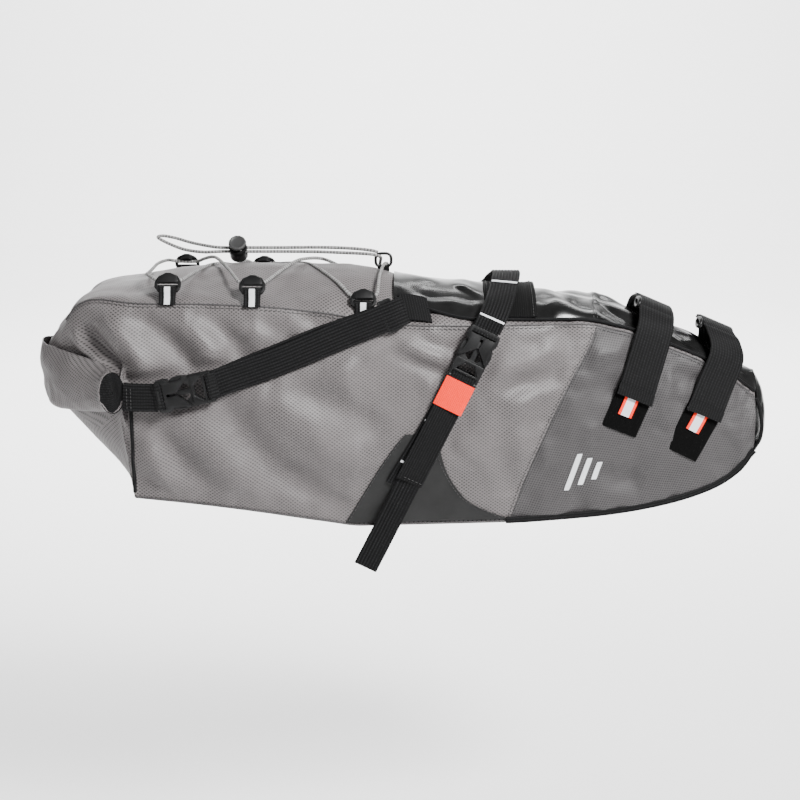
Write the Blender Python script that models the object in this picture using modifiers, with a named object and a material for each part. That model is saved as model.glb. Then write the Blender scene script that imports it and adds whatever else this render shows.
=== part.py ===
"""Bikepacking seat pack: a long roll-top bag that hangs from a bicycle's saddle rails.

+X runs to the nose (the seatpost end), +Z up, and the right side is -Y. The origin is on the
centreline where the saddle rails pass under the rail strap. Sizes below are in millimetres.
"""
import math

import bmesh
import bpy
from mathutils import Matrix, Vector

MM = 0.001

# ---- driving dimensions -------------------------------------------------------------------
FABRIC = 1.5            # laminated pack cloth, modelled thick enough to be solid
WEBBING = 1.6           # strap thickness
WEBBING_WIDTH = 25.0
REAR_X = -335.0         # rear edge of the side, top and base panels
NOSE_X = 229.0          # front edge of the nose, top and base panels
SIDE_FOOT = -205.0      # lowest and highest point of the sides
SIDE_HEAD = -24.0
SIDE_BULGE = 7.0        # how far a filled side stands out of its flat line
SEAM_GAP = 0.7          # clearance between neighbouring panel edges

# The bag's outline: heights and half widths along its length, joined by smooth curves.
BOTTOM_Z = ((-335, -177), (-285, -182), (-225, -190), (-165, -200), (-130, -205), (0, -205),
            (74, -202), (107, -199), (150, -192), (190, -180), (215, -165), (229, -147))
SEAM_Z = ((-335, -2), (-285, -2), (-225, -4), (-165, -10), (-97, -21.5), (-17, -24), (60, -24),
          (107, -33), (150, -50), (190, -68), (229, -96))
CROWN_Z = ((-335, 10), (-285, 20), (-225, 22.5), (-150, 22.5), (-97, 13), (-17, 3.7), (30, -2.8),
           (74, -8.3), (107, -18.5), (150, -36.3), (190, -55.8), (229, -77))
BOTTOM_HALF = ((-335, 72), (-285, 73), (-225, 72), (-165, 68), (-97, 62), (-17, 55), (30, 49),
               (74, 44), (107, 40), (150, 34), (190, 28), (229, 20))
SEAM_HALF = ((-335, 76), (-285, 78), (-225, 78), (-165, 76), (-97, 71), (-17, 62), (30, 56),
             (74, 49), (107, 43), (150, 36), (190, 29), (229, 20))
NOSE_SEAM_X = ((-206, 2), (-164, 16), (-117, 36), (-77, 55), (-42, 73), (-24, 79))   # z, x

# Roll-top
ROLL_END_X = -349.0
ROLL_BACK_X = -416.0
ROLL_HALF_SPAN = 90.0
ROLL_Z = -78.0
ROLL_THICK = 24.0
ROLL_END_HEIGHT = 38.0
ROLL_BACK_HEIGHT = 66.0
ROLL_TURNS = 2.25
ROLL_CORE = 0.36        # inner end of the spiral as a share of its outside

# Side-release buckles, along the strap
BUCKLE_LENGTH = 50.0
BUCKLE_WIDTH = 30.0
SOCKET_LENGTH = 30.0
SOCKET_THICK = 8.6
PLUG_THICK = 4.6

# Straps over the rails and down the sides
RAIL_BUCKLE_TOP = (-20.8, -25.6)     # x, z of the socket's upper edge
RAIL_STRAP_FALL = (-0.445, -0.895)   # x, z direction down the side
ROLL_BUCKLE_REAR = (-309.0, -80.5)
ROLL_STRAP_RISE = (0.98, 0.2)
BUCKLE_LIFT = 7.4
TAIL_START = 155.2                   # runs down the rail strap's line
TAIL_END = 241.0

# Seatpost straps
# Per strap: x and z of the flap's hinge, of the flap's lower end, and of the top of the loop.
SEATPOST_STRAPS = {
    "rear": ((131.0, -33.5), (114.0, -92.0), (137.0, -12.5)),
    "front": ((199.0, -57.0), (178.5, -109.0), (194.0, -32.0)),
}
SEATPOST_WIDTH = 34.0
SEATPOST_THICK = 2.0
SLOPE = Vector((0.92, 0.0, -0.39))      # direction of the nose's sloping top edge

# Lacing
CORD_DIAMETER = 3.0
LOCK_CENTRE = Vector((-247.0, 28.0, 34.0))
HOOK_X = (-300.0, -226.0, -129.0)

CORD_ROUTE = (
    (-108.5, 20, 22), (-110, 14, 23), (-112, 0, 23), (-115, -30, 18), (-116, -50, 11),
    (-118, -61, 4.5), (-129, -62.1, 3), (-140, -61, 4.5), (-152, -46, 14), (-172, -16, 23.5),
    (-184, 4, 24.5), (-200, 32, 21), (-211, 55, 17.5), (-216, 65, 16.5), (-226, 66.3, 15.8),
    (-237, 65.5, 16.6), (-242, 58, 19.5), (-250, 42, 18), (-262, 16, 22.8), (-273, -10, 23.5),
    (-284, -46, 20), (-289, -64, 18.5), (-300, -66, 17.8), (-311, -65, 18.8), (-317, -56, 20.5),
    (-323, -36, 20), (-325, -12, 18), (-325, 12, 18), (-323, 36, 20), (-317, 56, 20.5),
    (-311, 65, 18.8), (-300, 66, 17.8), (-289, 64, 18.5), (-281, 42, 23.5), (-270, 14, 29),
    (-262, -6, 29.5), (-250, -36, 24.5), (-242, -57, 19.5), (-237, -65.5, 16.6),
    (-226, -66.3, 15.8), (-216, -65, 16.5), (-208, -47, 20.5), (-194, -18, 27.5), (-184, 0, 29),
    (-168, 26, 25.5), (-150, 48, 14), (-140, 61, 4.5), (-129, 62.1, 3), (-118, 61, 4.5),
    (-116, 48, 13), (-115, 30, 23), (-114.5, 14, 28.5), (-118, 5, 31.5), (-127, 4, 33),
    (-148, 12, 33), (-175, 20, 33), (-205, 26.5, 32.4), (-232, 26.5, 32.4), (-262, 26.5, 32.4),
    (-280, 30, 31.5), (-298, 40, 32.5), (-314, 49, 37), (-325, 55, 42), (-321, 61, 43),
    (-309, 60, 41), (-294, 51, 38), (-277, 37, 36.5), (-262, 29.5, 35.7), (-232, 29.5, 35.7),
    (-205, 29.5, 35.7), (-170, 24.5, 36.5), (-142, 17, 36.5), (-124, 10.5, 35.5), (-117, 9, 34),
)

COLLECTION = bpy.data.collections.new("saddle_bag")
CUTTERS = bpy.data.collections.new("cutters")
BODY_CENTRE = Vector((-50.0, 0.0, -100.0))


def clear_scene():
    for item in list(bpy.data.objects):
        bpy.data.objects.remove(item, do_unlink=True)
    for group in (COLLECTION, CUTTERS):
        bpy.context.scene.collection.children.link(group)


# ---- curves and sections --------------------------------------------------------------------
def smooth(knots, at):
    """Value at a place along a smooth curve through (place, value) knots, without overshoot."""
    if at <= knots[0][0]:
        return knots[0][1]
    if at >= knots[-1][0]:
        return knots[-1][1]
    slopes = [(b[1] - a[1]) / (b[0] - a[0]) for a, b in zip(knots, knots[1:])]
    tangents = [slopes[0]]
    for before, after in zip(slopes, slopes[1:]):
        same_way = before * after > 0
        tangents.append(2 * before * after / (before + after) if same_way else 0.0)
    tangents.append(slopes[-1])
    i = max(k for k in range(len(slopes)) if knots[k][0] <= at)
    width = knots[i + 1][0] - knots[i][0]
    t = (at - knots[i][0]) / width
    return ((2 * t ** 3 - 3 * t ** 2 + 1) * knots[i][1] + (t ** 3 - 2 * t ** 2 + t) * width * tangents[i]
            + (3 * t ** 2 - 2 * t ** 3) * knots[i + 1][1] + (t ** 3 - t ** 2) * width * tangents[i + 1])


def side_half(x, z):
    """Half width of the bag at a height; above the seam it stays at the seam's width."""
    low = smooth(BOTTOM_Z, x)
    t = min(1.0, max(0.0, (z - low) / (smooth(SEAM_Z, x) - low)))
    flat = smooth(BOTTOM_HALF, x) + (smooth(SEAM_HALF, x) - smooth(BOTTOM_HALF, x)) * t
    return flat + 4 * SIDE_BULGE * t * (1 - t)


def on_side(x, z, lift):
    """Point on the right side, lifted outwards."""
    return Vector((x, -side_half(x, z) - lift, z))


def side_out(x, z):
    """Outward direction of the right side at a place."""
    along_x = on_side(x + 1, z, 0) - on_side(x - 1, z, 0)
    up = on_side(x, z + 1, 0) - on_side(x, z - 1, 0)
    return along_x.cross(up).normalized()


def on_top(x, across, lift=0.0):
    """Point on the top arch; across runs from -1 at the right seam to 1 at the left one."""
    seam = smooth(SEAM_Z, x) + 1.4
    z = seam + (smooth(CROWN_Z, x) - seam) * (1 - across ** 2)
    return Vector((x, across * (smooth(SEAM_HALF, x) - 0.3), z + lift))


def spline_point(points, t):
    """Point at t (0 to 1) on a smooth curve through the points."""
    count = len(points) - 1
    place = min(t * count, count - 1e-9)
    i = int(place)
    f = place - i
    p1 = points[i]
    p2 = points[i + 1]
    p0 = points[i - 1] if i > 0 else p1 * 2 - p2
    p3 = points[i + 2] if i + 2 <= count else p2 * 2 - p1
    return (p1 * 2 + (p2 - p0) * f + (p0 * 2 - p1 * 5 + p2 * 4 - p3) * f ** 2
            + (p1 * 3 - p0 - p2 * 3 + p3) * f ** 3) * 0.5


# ---- builders -------------------------------------------------------------------------------
def material(name, colour, roughness, metallic=0.0):
    made = bpy.data.materials.new(name)
    made.use_nodes = True
    shader = made.node_tree.nodes["Principled BSDF"]
    shader.inputs["Base Color"].default_value = (*colour, 1.0)
    shader.inputs["Roughness"].default_value = roughness
    shader.inputs["Metallic"].default_value = metallic
    return made


def add_object(name, mesh, paint):
    made = bpy.data.objects.new(name, mesh)
    COLLECTION.objects.link(made)
    if paint:
        mesh.materials.append(paint)
    return made


def sheet(name, rows, thickness, paint, outward=None):
    """A cloth or webbing piece: rows of points on its outer face, thickened inwards.

    outward is the side that the outer face looks to, or None for away from the bag's centre.
    """
    shape = bmesh.new()
    grid = [[shape.verts.new(point * MM) for point in row] for row in rows]
    for row, after in zip(grid, grid[1:]):
        for a, b, c, d in zip(row, row[1:], after[1:], after):
            shape.faces.new((a, b, c, d))
    shape.normal_update()
    facing = 0.0
    for face in shape.faces:
        look = outward or (face.calc_center_median() - BODY_CENTRE * MM).normalized()
        facing += face.normal.dot(look) * face.calc_area()
    if facing < 0:
        bmesh.ops.reverse_faces(shape, faces=shape.faces)
    mesh = bpy.data.meshes.new(name)
    shape.to_mesh(mesh)
    shape.free()
    made = add_object(name, mesh, paint)
    solid = made.modifiers.new("thickness", "SOLIDIFY")
    solid.thickness = thickness * MM
    solid.offset = -1.0
    return made


def strap(name, route, width, thickness, paint, steps=12):
    """Webbing along a smooth route of (point, outward direction) pairs on its outer face."""
    points = [p for p, _ in route]
    outs = [n.normalized() for _, n in route]
    rows = []
    for k in range(steps + 1):
        t = k / steps
        tangent = spline_point(points, min(1.0, t + 0.01)) - spline_point(points, max(0.0, t - 0.01))
        out = spline_point(outs, t)
        across = out.cross(tangent).normalized() * (width / 2)
        here = spline_point(points, t)
        rows.append([here - across, here + across])
    return sheet(name, rows, thickness, paint, outward=sum(outs, Vector()).normalized())


def place(origin, along, outward):
    """Matrix of a local frame: u along, v across, w outward, at an origin in millimetres."""
    u = along.normalized()
    w = (outward - u * outward.dot(u)).normalized()
    v = w.cross(u)
    turned = Matrix((u, v, w)).transposed().to_4x4()
    return Matrix.Translation(origin * MM) @ turned


def rounded(corners, radius, steps=3):
    """Outline with its corners rounded by arcs."""
    outline = []
    count = len(corners)
    for i, corner in enumerate(corners):
        here = Vector(corner)
        before = (Vector(corners[i - 1]) - here)
        after = (Vector(corners[(i + 1) % count]) - here)
        half = before.angle(after) / 2
        reach = min(radius / math.tan(half), before.length * 0.49, after.length * 0.49)
        start = here + before.normalized() * reach
        stop = here + after.normalized() * reach
        for k in range(steps + 1):
            t = k / steps
            outline.append(start * (1 - t) ** 2 + here * 2 * t * (1 - t) + stop * t ** 2)
    return outline


def box_outline(u_low, u_high, half_width, radius):
    return rounded(((u_low, -half_width), (u_high, -half_width), (u_high, half_width),
                    (u_low, half_width)), radius)


def plate(name, outlines, thickness, frame, paint):
    """A flat moulded piece: the first outline less the others, centred on the frame's plane."""
    curve = bpy.data.curves.new(name, "CURVE")
    curve.dimensions = "2D"
    curve.fill_mode = "BOTH"
    curve.extrude = thickness / 2 * MM
    for outline in outlines:
        line = curve.splines.new("POLY")
        line.points.add(len(outline) - 1)
        for point, at in zip(line.points, outline):
            point.co = (at[0] * MM, at[1] * MM, 0.0, 1.0)
        line.use_cyclic_u = True
    flat = add_object(name + "_outline", curve, None)
    bpy.context.view_layer.update()
    mesh = bpy.data.meshes.new_from_object(flat.evaluated_get(bpy.context.evaluated_depsgraph_get()))
    bpy.data.objects.remove(flat)
    shape = bmesh.new()
    shape.from_mesh(mesh)
    bmesh.ops.remove_doubles(shape, verts=shape.verts, dist=1e-6)
    bmesh.ops.recalc_face_normals(shape, faces=shape.faces)
    shape.to_mesh(mesh)
    shape.free()
    mesh.name = name
    made = add_object(name, mesh, paint)
    made.matrix_world = frame
    return made


def block(name, low, high, frame):
    shape = bmesh.new()
    bmesh.ops.create_cube(shape, size=1.0)
    size = Vector(high) - Vector(low)
    bmesh.ops.scale(shape, vec=size * MM, verts=shape.verts)
    bmesh.ops.translate(shape, vec=(Vector(low) + Vector(high)) / 2 * MM, verts=shape.verts)
    mesh = bpy.data.meshes.new(name)
    shape.to_mesh(mesh)
    shape.free()
    made = add_object(name, mesh, None)
    made.matrix_world = frame
    return made


def cylinder(name, radius, low, high, frame, paint=None, sides=20):
    """Cylinder about the frame's w axis, from low to high along it."""
    shape = bmesh.new()
    bmesh.ops.create_cone(shape, cap_ends=True, segments=sides, radius1=radius * MM,
                          radius2=radius * MM, depth=(high - low) * MM)
    bmesh.ops.translate(shape, vec=(0, 0, (low + high) / 2 * MM), verts=shape.verts)
    mesh = bpy.data.meshes.new(name)
    shape.to_mesh(mesh)
    shape.free()
    made = add_object(name, mesh, paint)
    made.matrix_world = frame
    return made


def combine(target, tool, operation):
    """Boolean of a tool on a target; the tool is kept as a hidden wire guide."""
    for group in list(tool.users_collection):
        group.objects.unlink(tool)
    CUTTERS.objects.link(tool)
    tool.hide_render = True
    tool.display_type = "WIRE"
    step = target.modifiers.new(operation.lower(), "BOOLEAN")
    step.operation = operation
    step.object = tool


def left_copy(source):
    """The left side's twin of a right-side piece, mirrored in the XZ plane."""
    bpy.context.view_layer.update()
    solid = source.evaluated_get(bpy.context.evaluated_depsgraph_get())
    mesh = bpy.data.meshes.new_from_object(solid)
    mesh.transform(Matrix.Scale(-1, 4, Vector((0, 1, 0))) @ source.matrix_world)
    mesh.flip_normals()
    mesh.name = source.name.replace("_right", "_left")
    made = add_object(mesh.name, mesh, None)
    return made


# ---- bag body -------------------------------------------------------------------------------
def span(low, high, count):
    return [low + (high - low) * k / count for k in range(count + 1)]


def side_sheet(name, columns, rows, x_range, paint):
    """A panel on the right side; x_range gives its two ends at a height."""
    grid = []
    for t in span(0.0, 1.0, rows):
        line = []
        for s in span(0.0, 1.0, columns):
            level = SIDE_FOOT + (SIDE_HEAD - SIDE_FOOT) * t
            start, stop = x_range(level)
            x = start + (stop - start) * s
            low = smooth(BOTTOM_Z, x) + FABRIC + SEAM_GAP
            high = smooth(SEAM_Z, x) - 0.8
            line.append(on_side(x, low + (high - low) * t, 0.0))
        grid.append(line)
    return sheet(name, grid, FABRIC, paint)


def body_panels(paints):
    def main_span(level):
        return REAR_X, smooth(NOSE_SEAM_X, level) - 0.4

    def nose_span(level):
        return smooth(NOSE_SEAM_X, level) + 0.4, NOSE_X

    side = side_sheet("side_panel_right", 14, 6, main_span, paints["grey"])
    nose = side_sheet("nose_panel_right", 7, 6, nose_span, paints["nose"])
    arch = [[on_top(x, a) for a in span(-1.0, 1.0, 10)] for x in span(REAR_X, NOSE_X, 20)]
    sheet("top_panel", arch, FABRIC, paints["grey"])
    base = []
    for x in span(-335.0, 5.0, 9) + span(35.0, NOSE_X, 6):
        half = smooth(BOTTOM_HALF, x) - 0.3
        base.append([Vector((x, half * a, smooth(BOTTOM_Z, x))) for a in (-1.0, 1.0)])
    sheet("base_panel", base, FABRIC, paints["grey"])
    stiff = []
    for x in span(-320.0, 5.0, 8) + span(40.0, 170.0, 4):
        half = smooth(BOTTOM_HALF, x) - 9.0
        stiff.append([Vector((x, half * a, smooth(BOTTOM_Z, x) + 3.4)) for a in (-1.0, 1.0)])
    sheet("base_stiffener", stiff, 1.0, paints["inner"], outward=Vector((0, 0, 1)))
    glossy = []
    for x in span(-102.0, 227.0, 14):
        reach = smooth(((-102, 0.7), (-30, 0.95), (60, 0.97)), x)
        glossy.append([on_top(x, a * reach, 3.3) for a in span(-1.0, 1.0, 8)])
    sheet("rail_top_panel", glossy, 1.2, paints["gloss"])
    return [side, nose]


def nose_front(paints):
    """Narrow panel that closes the nose, curved from the top seam round to the base."""
    centre = [Vector(p) for p in ((231, 0, -76), (239, 0, -92), (242, 0, -114), (240, 0, -134),
                                  (232, 0, -150))]
    edge = [Vector(p) for p in ((231, 0, -97), (234.5, 0, -106), (236, 0, -120), (235, 0, -134),
                                (231, 0, -145))]
    rows = []
    for t in span(0.0, 1.0, 8):
        mid = spline_point(centre, t)
        rim = spline_point(edge, t)
        rows.append([mid + (rim - mid) * a * a + Vector((0, 20.0 * a, 0))
                     for a in span(-1.0, 1.0, 4)])
    sheet("nose_front_panel", rows, FABRIC, paints["gloss"])


def roll_x(u):
    """Plan of the roll: its ends are pulled forward, its middle stays back."""
    return ROLL_END_X + (ROLL_BACK_X - ROLL_END_X) * (1 - u * u) ** 2


def roll_height(u):
    return ROLL_END_HEIGHT + (ROLL_BACK_HEIGHT - ROLL_END_HEIGHT) * (1 - u * u)


def roll_stations(count, limit):
    """Centre and plan normal at each station along the roll."""
    out = []
    for u in span(-limit, limit, count):
        step = 0.01
        run = Vector((roll_x(u + step) - roll_x(u - step), 2 * step * ROLL_HALF_SPAN, 0))
        normal = Vector((-run.y, run.x, 0)).normalized()
        out.append((u, Vector((roll_x(u), u * ROLL_HALF_SPAN, ROLL_Z)), normal))
    return out


def rear_closure(paints):
    collar = []
    for v in span(0.0, 1.0, 5):
        line = []
        for u in span(-1.0, 1.0, 16):
            if abs(u) > 0.6:
                drop = (abs(u) - 0.6) / 0.4
                z = -2 - 53 * drop
                start = Vector((-336.8, math.copysign(side_half(REAR_X, z), u), z))
            else:
                start = on_top(REAR_X, u / 0.6)
                start.x = -336.8
            stop = Vector((roll_x(u), u * ROLL_HALF_SPAN, ROLL_Z + roll_height(u) / 2 + 3.4))
            line.append(start + (stop - start) * v + Vector((0, 0, 14 * v * (1 - v))))
        collar.append(line)
    sheet("mouth_collar", collar, FABRIC, paints["grey"])

    rear = []
    for v in span(0.0, 1.0, 5):
        line = []
        for u in span(-1.0, 1.0, 12):
            start = Vector((-337.4, 71 * u, -175))
            stop = Vector((roll_x(u) + 1, 82 * u, ROLL_Z - roll_height(u) / 2 - 3.0))
            line.append(start + (stop - start) * v)
        rear.append(line)
    sheet("rear_panel", rear, FABRIC, paints["grey"])

    spiral = []
    for u, centre, normal in roll_stations(14, 1.0):
        line = []
        for k in range(27):
            share = k / 26
            angle = math.pi / 2 + 2 * math.pi * ROLL_TURNS * share
            shrink = 1 - (1 - ROLL_CORE) * share
            line.append(centre + normal * (ROLL_THICK / 2 * shrink * math.cos(angle))
                        + Vector((0, 0, roll_height(u) / 2 * shrink * math.sin(angle))))
        spiral.append(line)
    roll = sheet("roll_closure", spiral, 1.3, paints["grey"])
    turn_out(roll, spiral)
    strip = []
    for _, centre, normal in roll_stations(14, 0.98):
        mid = centre - normal * 0.6
        strip.append([mid + Vector((0, 0, 3.6 * a)) for a in (-1.0, 1.0)])
    sheet("closure_stiffener", strip, 1.2, paints["inner"], outward=Vector((-1, 0, 0)))


def turn_out(roll, spiral):
    """Make the roll's cloth grow inwards: its faces look away from the roll's own axis."""
    middle = len(spiral) // 2
    centre = Vector((ROLL_BACK_X, 0, ROLL_Z)) * MM
    face = min(roll.data.polygons, key=lambda f: (f.center - spiral[middle][0] * MM).length)
    if face.normal.dot(face.center - centre) < 0:
        roll.data.flip_normals()


def reinforcement(paints):
    """Black wear patch low on the side, wide at the base and narrowing to a blunt tip."""
    front = ((-202, 2), (-190, -26), (-180, -39), (-152, -56), (-124, -64), (-119, -68))
    rows = []
    for z in span(-202.0, -119.0, 7):
        rear_x = smooth(((-202, -146), (-124, -97), (-119, -92)), z)
        front_x = smooth(front, z)
        rows.append([on_side(x, max(z, smooth(BOTTOM_Z, x) + 2.4), 2.0)
                     for x in span(rear_x, front_x, 5)])
    return sheet("reinforcement_patch_right", rows, 1.2, paints["patch"])


# ---- buckles --------------------------------------------------------------------------------
def buckle(name, frame, paints):
    """Side-release buckle: a socket on the rear or upper strap and a plug that slides out."""
    half = BUCKLE_WIDTH / 2
    shell = rounded(((0, -13.5), (SOCKET_LENGTH - 9, -half), (SOCKET_LENGTH, -half + 1),
                     (SOCKET_LENGTH, half - 1), (SOCKET_LENGTH - 9, half), (0, 13.5)), 2.5)
    slot = box_outline(2.8, 6.2, 11.5, 1.0)
    socket = plate(name.format("socket"), (shell, slot), SOCKET_THICK, frame, paints["plastic"])
    room = block(socket.name + "_room", (9.0, -20, -2.7), (SOCKET_LENGTH + 5, 20, 2.7), frame)
    combine(socket, room, "DIFFERENCE")
    notch_shape = rounded(((SOCKET_LENGTH - 11, -2.5), (SOCKET_LENGTH + 4, -10),
                           (SOCKET_LENGTH + 4, 10), (SOCKET_LENGTH - 11, 2.5)), 1.0)
    notch = plate(socket.name + "_notch", (notch_shape,), 20.0, frame, None)
    combine(socket, notch, "DIFFERENCE")

    arm = ((SOCKET_LENGTH + 1, 14.2), (26, 14.2), (20, 14.6), (13, 12.5), (11, 9.5), (12.5, 8.2),
           (19, 9.5), (27, 8.2), (29.5, 4.5), (29.5, 2.3), (12, 2.3))
    outer = list(arm) + [(u, -v) for u, v in reversed(arm)]
    outer += [(BUCKLE_LENGTH, -half + 1.2), (BUCKLE_LENGTH, half - 1.2)]
    opening = rounded(((SOCKET_LENGTH + 4, -4.5), (41, -10), (41, 10), (SOCKET_LENGTH + 4, 4.5)), 1.0)
    bar_slot = box_outline(43.6, 46.6, 11.5, 0.8)
    plug = plate(name.format("plug"), (rounded(outer, 0.8, 2), opening, bar_slot), PLUG_THICK,
                 frame, paints["plastic"])
    return [socket, plug]


def rail_point(run, lift, aside=0.0):
    """Point a run down the rail strap's line on the right side, some way aside of the line."""
    x = RAIL_BUCKLE_TOP[0] + RAIL_STRAP_FALL[0] * run + RAIL_STRAP_FALL[1] * aside
    z = RAIL_BUCKLE_TOP[1] + RAIL_STRAP_FALL[1] * run - RAIL_STRAP_FALL[0] * aside
    return on_side(x, z, lift)


def rail_route(stations):
    """Route down the rail strap's line from (run, lift, aside) stations, facing outwards."""
    points = [rail_point(run, lift, aside) for run, lift, aside in stations]
    return [(p, side_out(p.x, p.z)) for p in points]


def rail_fastening(paints):
    """Band, strap, buckles, anchor and adjuster straps and tails that hold the bag to the rails."""
    right = Vector((0, -1, 0))
    band = [[on_top(x, a, 6.0) for a in span(-0.97, 0.97, 10)] for x in span(-21.0, 25.0, 2)]
    sheet("rail_band", band, 1.4, paints["band"])

    half = [((-20.0, -70.5, -24.4), (0, -1, 0.05)), ((-14, -67, -12), (0, -0.9, 0.45)),
            ((-8, -53, 0), (0, -0.65, 0.75)), ((-3, -30, 11), (0, -0.4, 0.9)),
            ((0, -11, 17.2), (0, -0.2, 1)), ((0, 0, 18.6), (0, 0, 1))]
    far = [((x, -y, z), (nx, -ny, nz)) for (x, y, z), (nx, ny, nz) in reversed(half[:-1])]
    route = [(Vector(p), Vector(n)) for p, n in half + far]
    strap("rail_strap", route, WEBBING_WIDTH, WEBBING, paints["webbing"], 24)

    top = rail_point(0.0, BUCKLE_LIFT)
    along = rail_point(BUCKLE_LENGTH, BUCKLE_LIFT) - top
    frame = place(top, along, right)
    pieces = buckle("rail_buckle_{}_right", frame, paints)

    anchor = rail_route(((44, 2.6, 0), (80, 4.2, 1), (120, 4.3, 3), (160, 4.3, 6)))
    pieces.append(strap("anchor_strap_right", anchor, WEBBING_WIDTH, WEBBING, paints["webbing"], 8))

    clear = BUCKLE_LENGTH + 0.6
    adjuster = [(top + along.normalized() * clear + Vector((0, -0.9, 0)), right)]
    adjuster += rail_route([(run, 8.2, 0) for run in (76, 105, 130, 153)])
    pieces.append(strap("adjuster_strap_right", adjuster, WEBBING_WIDTH, WEBBING,
                        paints["webbing"], 8))

    start = rail_point(TAIL_START, 7.9)
    stop = rail_point(TAIL_END, 0.0)
    tail = [(start, right), (start * 0.6 + Vector((stop.x, start.y - 1, stop.z)) * 0.4, right),
            (Vector((stop.x, start.y - 1.5, stop.z)), right)]
    pieces.append(strap("strap_tail_right", tail, 21.5, WEBBING, paints["webbing"], 6))
    return pieces


def roll_fastening(paints):
    """Webbing, buckle and strap lock that pull the roll's right end to the front of the dome."""
    right = Vector((0, -1, 0))
    rear = Vector((ROLL_BUCKLE_REAR[0], -94.5, ROLL_BUCKLE_REAR[1]))
    front = Vector((ROLL_BUCKLE_REAR[0] + ROLL_STRAP_RISE[0] * BUCKLE_LENGTH, -92.0,
                    ROLL_BUCKLE_REAR[1] + ROLL_STRAP_RISE[1] * BUCKLE_LENGTH))
    frame = place(rear, front - rear, right)
    pieces = buckle("roll_buckle_{}_right", frame, paints)

    tab = [(Vector((-349, -93.6, -80)), right), (Vector((-330, -94.4, -81)), right),
           (rear + Vector((-3.2, -0.8, -0.4)), right)]
    pieces.append(strap("roll_tab_right", tab, WEBBING_WIDTH, WEBBING, paints["webbing"], 5))

    places = ((-267, -69.5, 6.6), (-236, -62, 4.4), (-200, -49.5, 3.2), (-150, -28.5, 3.2),
              (-113, -14, 4.4))
    route = [(on_side(x, z, lift), side_out(x, z)) for x, z, lift in places]
    pieces.append(strap("roll_strap_right", route, WEBBING_WIDTH, WEBBING, paints["webbing"], 14))

    lock_frame = place(on_side(-112, -13.6, 4.0), Vector((0.92, 0.05, 0.38)), right)
    slots = (box_outline(0, 13, 15, 2.0), box_outline(2.4, 5.2, 12.8, 0.8),
             box_outline(7.8, 10.6, 12.8, 0.8))
    pieces.append(plate("strap_lock_right", slots, 3.2, lock_frame, paints["plastic"]))
    tab = [(on_side(-94.5, -7.0, 4.6), right), (on_side(-86, -8, 4.6), right),
           (on_side(-76, -17, 4.0), right)]
    pieces.append(strap("lock_tab_right", tab, 20.0, 1.4, paints["webbing"], 6))
    return pieces


# ---- seatpost straps ------------------------------------------------------------------------
def side_edges(place, lift):
    """The two edge points of a seatpost strap on the right side, about a centre (x, z)."""
    reach = SLOPE.normalized() * SEATPOST_WIDTH / 2
    return [on_side(place[0] + way * reach.x, place[1] + way * reach.z, lift) for way in (-1, 1)]


def over_edges(x, y, z):
    """The two edge points of a seatpost strap where it stands clear over the nose."""
    reach = SLOPE.normalized() * SEATPOST_WIDTH / 2
    return [Vector((x, y, z)) + reach * way for way in (-1, 1)]


def wide_strap(name, stations, out, steps, paint):
    """A wide strap through pairs of edge points on its outer face."""
    edges = list(zip(*stations))
    rows = [[spline_point(edge, t) for edge in edges] for t in span(0.0, 1.0, steps)]
    made = sheet(name, rows, SEATPOST_THICK, paint)
    if made.data.polygons[0].normal.dot(out) < 0:
        made.data.flip_normals()
    return made


def seatpost_strap(name, paints):
    """Wide strap over the nose with a peelable flap at its right end."""
    hinge, low, top = SEATPOST_STRAPS[name]
    mid = ((hinge[0] + low[0]) / 2, (hinge[1] + low[1]) / 2)
    lift = 3.4
    flap = [side_edges(place, lift) for place in (hinge, mid, low)]
    wide_strap("seatpost_flap_" + name, flap, Vector((0, -1, 0)), 6, paints["webbing"])

    half = side_half(*hinge) + lift
    near = side_edges((hinge[0] + 0.4, hinge[1] + 1.6), lift)
    shoulder = ((hinge[0] + top[0]) / 2, half * 0.8, top[1] - 7.0)
    inner = (top[0] - 1, half * 0.42, top[1] - 1.5)
    arch = [over_edges(x, -y, z) for x, y, z in (shoulder, inner)]
    arch.append(over_edges(top[0], 0.0, top[1]))
    arch += [over_edges(x, y, z) for x, y, z in (inner, shoulder)]
    sewn = []
    for place in (hinge, mid, low):
        sewn.append([Vector((p.x, -p.y, p.z)) for p in side_edges(place, lift)])
    wide_strap("seatpost_strap_" + name, [near] + arch + sewn, Vector((0, -1, 0)), 24,
               paints["webbing"])


# ---- lacing ---------------------------------------------------------------------------------
def hook_frame(x):
    """Frame of a cord hook on the right: u up the dome, v along the bag, w outward."""
    base = Vector((x, -smooth(SEAM_HALF, x) - 0.2, smooth(SEAM_Z, x) + 4.4))
    return base, place(base, Vector((0, 0.6, 0.8)), Vector((0, -0.8, 0.6)))


def cord_hooks(paints):
    pieces = []
    for number, x in enumerate(HOOK_X, 1):
        base, frame = hook_frame(x)
        outline = rounded(((10.5, -9), (17, -10.5), (25, -9.5), (29, -4), (29, 4), (25, 9.5),
                           (17, 10.5), (10.5, 9)), 2.0, 2)
        hook = plate(f"cord_hook_{number}_right", (outline,), 6.4, frame, paints["plastic"])
        channel = block(hook.name + "_channel", (15.5, -20, -10), (23.5, 20, 1.8), frame)
        combine(hook, channel, "DIFFERENCE")
        window = block(hook.name + "_window", (16.8, -6, 0), (22.2, 6, 10), frame)
        combine(hook, window, "DIFFERENCE")
        up = Vector((0, 0.6, 0.8))
        out = Vector((0, -0.8, 0.6))
        route = [(base + up * a + out * 0.7, out) for a in (0.0, 5.0, 9.9)]
        loop = strap(f"hook_loop_{number}_right", route, 15.0, 1.4, paints["webbing"], 2)
        pieces += [hook, loop]
    return pieces


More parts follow.
